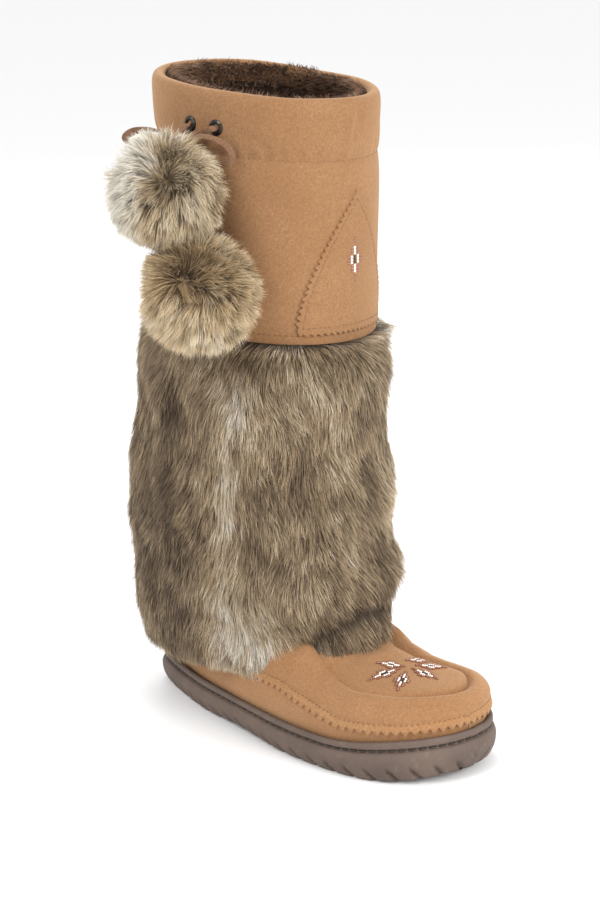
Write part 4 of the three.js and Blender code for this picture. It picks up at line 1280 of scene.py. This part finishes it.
def make_pompom(name, seed):
    """Fur ball: hairs from a soft core, parted at a pole and laid over the ball, loose at its edge."""
    rng = np.random.default_rng(seed)
    centre = np.array(POMPOM_AT[name], float)
    rows, columns = 18, 30
    polar = np.linspace(0.02, math.pi - 0.02, rows)
    turn = np.arange(columns) * TAU / columns
    p, t = np.meshgrid(polar, turn, indexing="ij")
    ball_way = np.stack([np.sin(p) * np.cos(t), np.sin(p) * np.sin(t), np.cos(p)], -1).reshape(-1, 3)
    core = centre + ball_way * (POMPOM_CORE + 1.6 * noise(ball_way * 20 + seed, 9))[:, None]
    core_faces = grid_faces(rows, columns)[:, ::-1]

    count = POMPOM_STRANDS
    way = unit(rng.normal(size=(count, 3)))
    seeds = unit(rng.normal(size=(POMPOM_LOCKS, 3)))
    nearest = np.argmax(way @ seeds.T, axis=1)
    clump = seeds[nearest]
    clump_tone = rng.random(len(seeds))[nearest]
    clump_way = rng.normal(0, 0.3, seeds.shape)[nearest]
    right, up, out = POMPOM_POLES[name]
    pole = unit(QUARTER_RIGHT * right + QUARTER_UP * up + QUARTER_OUT * out)
    facing = way @ pole
    # The parting is ragged: its place shifts a little from lock to lock.
    spread = way * 30
    shifts = np.array([(1, 4, 8), (0, 5, 9), (2, 6, 11)]) + seed
    ragged = pole + 0.42 * noise_way(spread, 19, shifts[0])
    laid = way * facing[:, None] - ragged
    laid /= np.maximum(np.linalg.norm(laid, axis=1), 0.25)[:, None]
    swirl = np.cross(way, pole)
    root = centre + way * (POMPOM_CORE - 0.5)
    lay = 0.35 + 0.75 * smoothstep(facing, -0.9, 0.5)
    heading = way * 0.8 + 0.42 * laid * lay[:, None] + 0.25 * swirl + clump_way
    heading += 0.8 * noise_way(spread, 14, shifts[1]) + 0.45 * noise_way(spread, 6, shifts[2])
    heading = unit(heading + rng.normal(0, 0.15, way.shape) + 0.22 * DOWN)
    length = POMPOM_LENGTH * varied(rng, count, 0.75, 0.5) * (1 + 0.12 * noise(spread, 16, seed))
    middle = root + heading * (length * 0.52)[:, None] + way * 0.8
    tip = root + (heading + 0.10 * DOWN) * length[:, None]
    # Hairs stay within the ball's reach, apart from its loose ends.
    far = np.linalg.norm(tip - centre, axis=1)
    limit = POMPOM_REACH - 1.5 + 4.2 * rng.random(count) ** 2
    tip = centre + (tip - centre) * np.minimum(1, limit / far)[:, None]
    to_clump = centre + clump * np.linalg.norm(tip - centre, axis=1)[:, None] + heading * 7 - tip
    to_clump = np.clip(to_clump, -5, 5)
    middle += to_clump * 0.10
    tip += to_clump * 0.30
    side = unit(np.cross(heading, way + rng.normal(0, 0.5, way.shape)))
    width = POMPOM_WIDTH * varied(rng, count, 0.7, 0.6)
    verts, tris = ribbons(root, middle, tip, side, width)
    tone = 0.50 + 0.17 * noise(spread, 15, seed + 2.0) + 0.13 * noise(spread, 5, seed + 4.0)
    if name == "pompom_upper":
        greyer = -0.8 * QUARTER_RIGHT + 0.25 * QUARTER_UP
        tone = tone + 0.55 * smoothstep(way @ greyer, -0.1, 0.55)
        for spot_right, spot_up, deep in POMPOM_SPOTS:
            spot = unit(QUARTER_RIGHT * spot_right + QUARTER_UP * spot_up + QUARTER_OUT * 0.88)
            tone = tone - deep * bump(1 - way @ spot, 0, 0.025)
    else:
        tone = tone - 0.25 * bump(1 - facing, 0, 0.12) + 0.14 * smoothstep(-(way @ QUARTER_UP), -0.2, 0.8)
    tone = tone + 0.24 * (clump_tone - 0.5) + rng.normal(0, 0.15, count)
    uv = np.vstack([palette(tone), np.tile([0.3, 0.5], (len(core), 1))])
    quads = core_faces + len(verts)
    material = fur_material(name + "_hair", POMPOM_RAMPS[name])
    obj = build(name + "_fur", np.vstack([verts, core]), [tris, quads], material, uv)
    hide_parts(name)
    return obj


LINING_STRANDS, PLUSH_LENGTH, PLUSH_WIDTH = 24000, 6.0, 0.46
LINING_ROUND, LINING_TOP, LINING_BOTTOM = 96, 409, 60
PLUSH_TOP, PLUSH_DOWN = 413, 90


def make_lining():
    """Short plush inside the collar, with tufts that stand a little over the rim's inner edge."""
    angle = np.arange(LINING_ROUND) * TAU / LINING_ROUND
    heights = np.linspace(LINING_TOP, LINING_BOTTOM, 40)
    rings = [shaft_point(angle, z, -8.0 + 4.0 * smoothstep(z, 60, 110)) for z in heights]
    skin = build("collar_lining", np.vstack(rings), grid_faces(len(rings), LINING_ROUND), LINING)
    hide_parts("upper")
    rng = np.random.default_rng(23)
    angle = rng.random(LINING_STRANDS) * TAU
    z = PLUSH_TOP - PLUSH_DOWN * rng.random(LINING_STRANDS) ** 2.2
    root = shaft_point(angle, z, -4.6 - 3.6 * smoothstep(z, 398, 407))
    plain = shaft_point(angle, z)
    inward = np.stack([-np.cos(angle), -np.sin(angle), np.zeros(len(angle))], 1)
    up = smoothstep(z, 385, 412)[:, None]
    way = inward * 0.8 + DOWN * (1 - 1.5 * up) + 0.5 * noise_way(plain, 9, (1.5, 4.5, 8.5))
    way = unit(way + rng.normal(0, 0.3, way.shape))
    length = PLUSH_LENGTH * varied(rng, len(z), 0.7, 0.6)
    # Along the inner side the plush stands up and folds over the rim.
    patchy = smoothstep(noise(plain, 21, 6.6) + 0.7 * noise(plain, 6, 2.6), -0.35, 0.45)
    rim = (smoothstep(z, 408, 412) * bump(turned(np.degrees(angle) - 120), 0, 62) * patchy)[:, None]
    over = rim * rng.random((len(z), 1))
    root = root + over * [0, 0, 3.0] - inward * over * 5.6
    way = way * (1 - rim) + rim * (way * 0.7 - inward * 0.3 + [0, 0, 0.1])
    middle = root + way * (length * 0.5)[:, None]
    tip = root + (way + inward * 0.25 + [0, 0, -0.1]) * length[:, None]
    side = unit(np.cross(way, rng.normal(size=way.shape)))
    verts, tris = ribbons(root, middle, tip, side, PLUSH_WIDTH * varied(rng, len(z), 0.7, 0.6))
    tone = 0.36 + 0.4 * noise(plain, 17, 3.0) + rng.normal(0, 0.16, len(z))
    tone = tone + 0.35 * smoothstep(-(plain[:, 0] - 60), 0, 40) * smoothstep(z, 380, 405)
    tone = tone + 0.2 * rim[:, 0]
    material = fur_material("plush", [
        (0.0, [(0.0, "2A1C14"), (0.5, "483327"), (1.0, "5C4334")]),
        (0.5, [(0.0, "3A2A1F"), (0.5, "6A4F3D"), (1.0, "8A6A52")]),
        (1.0, [(0.0, "5A4332"), (0.5, "96755A"), (1.0, "C0A180")]),
    ])
    build("collar_plush", verts, tris, material, palette(tone))


make_fur()
pompoms = {name: make_pompom(name, seed) for name, seed in (("pompom_upper", 3), ("pompom_lower", 5))}
make_lining()

# ---- CAD parts that stay ----
for node, material in (("insole", LINING), ("eyelet_rear", METAL), ("eyelet_front", METAL)):
    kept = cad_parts[node]
    kept.data.materials.clear()
    kept.data.materials.append(material)
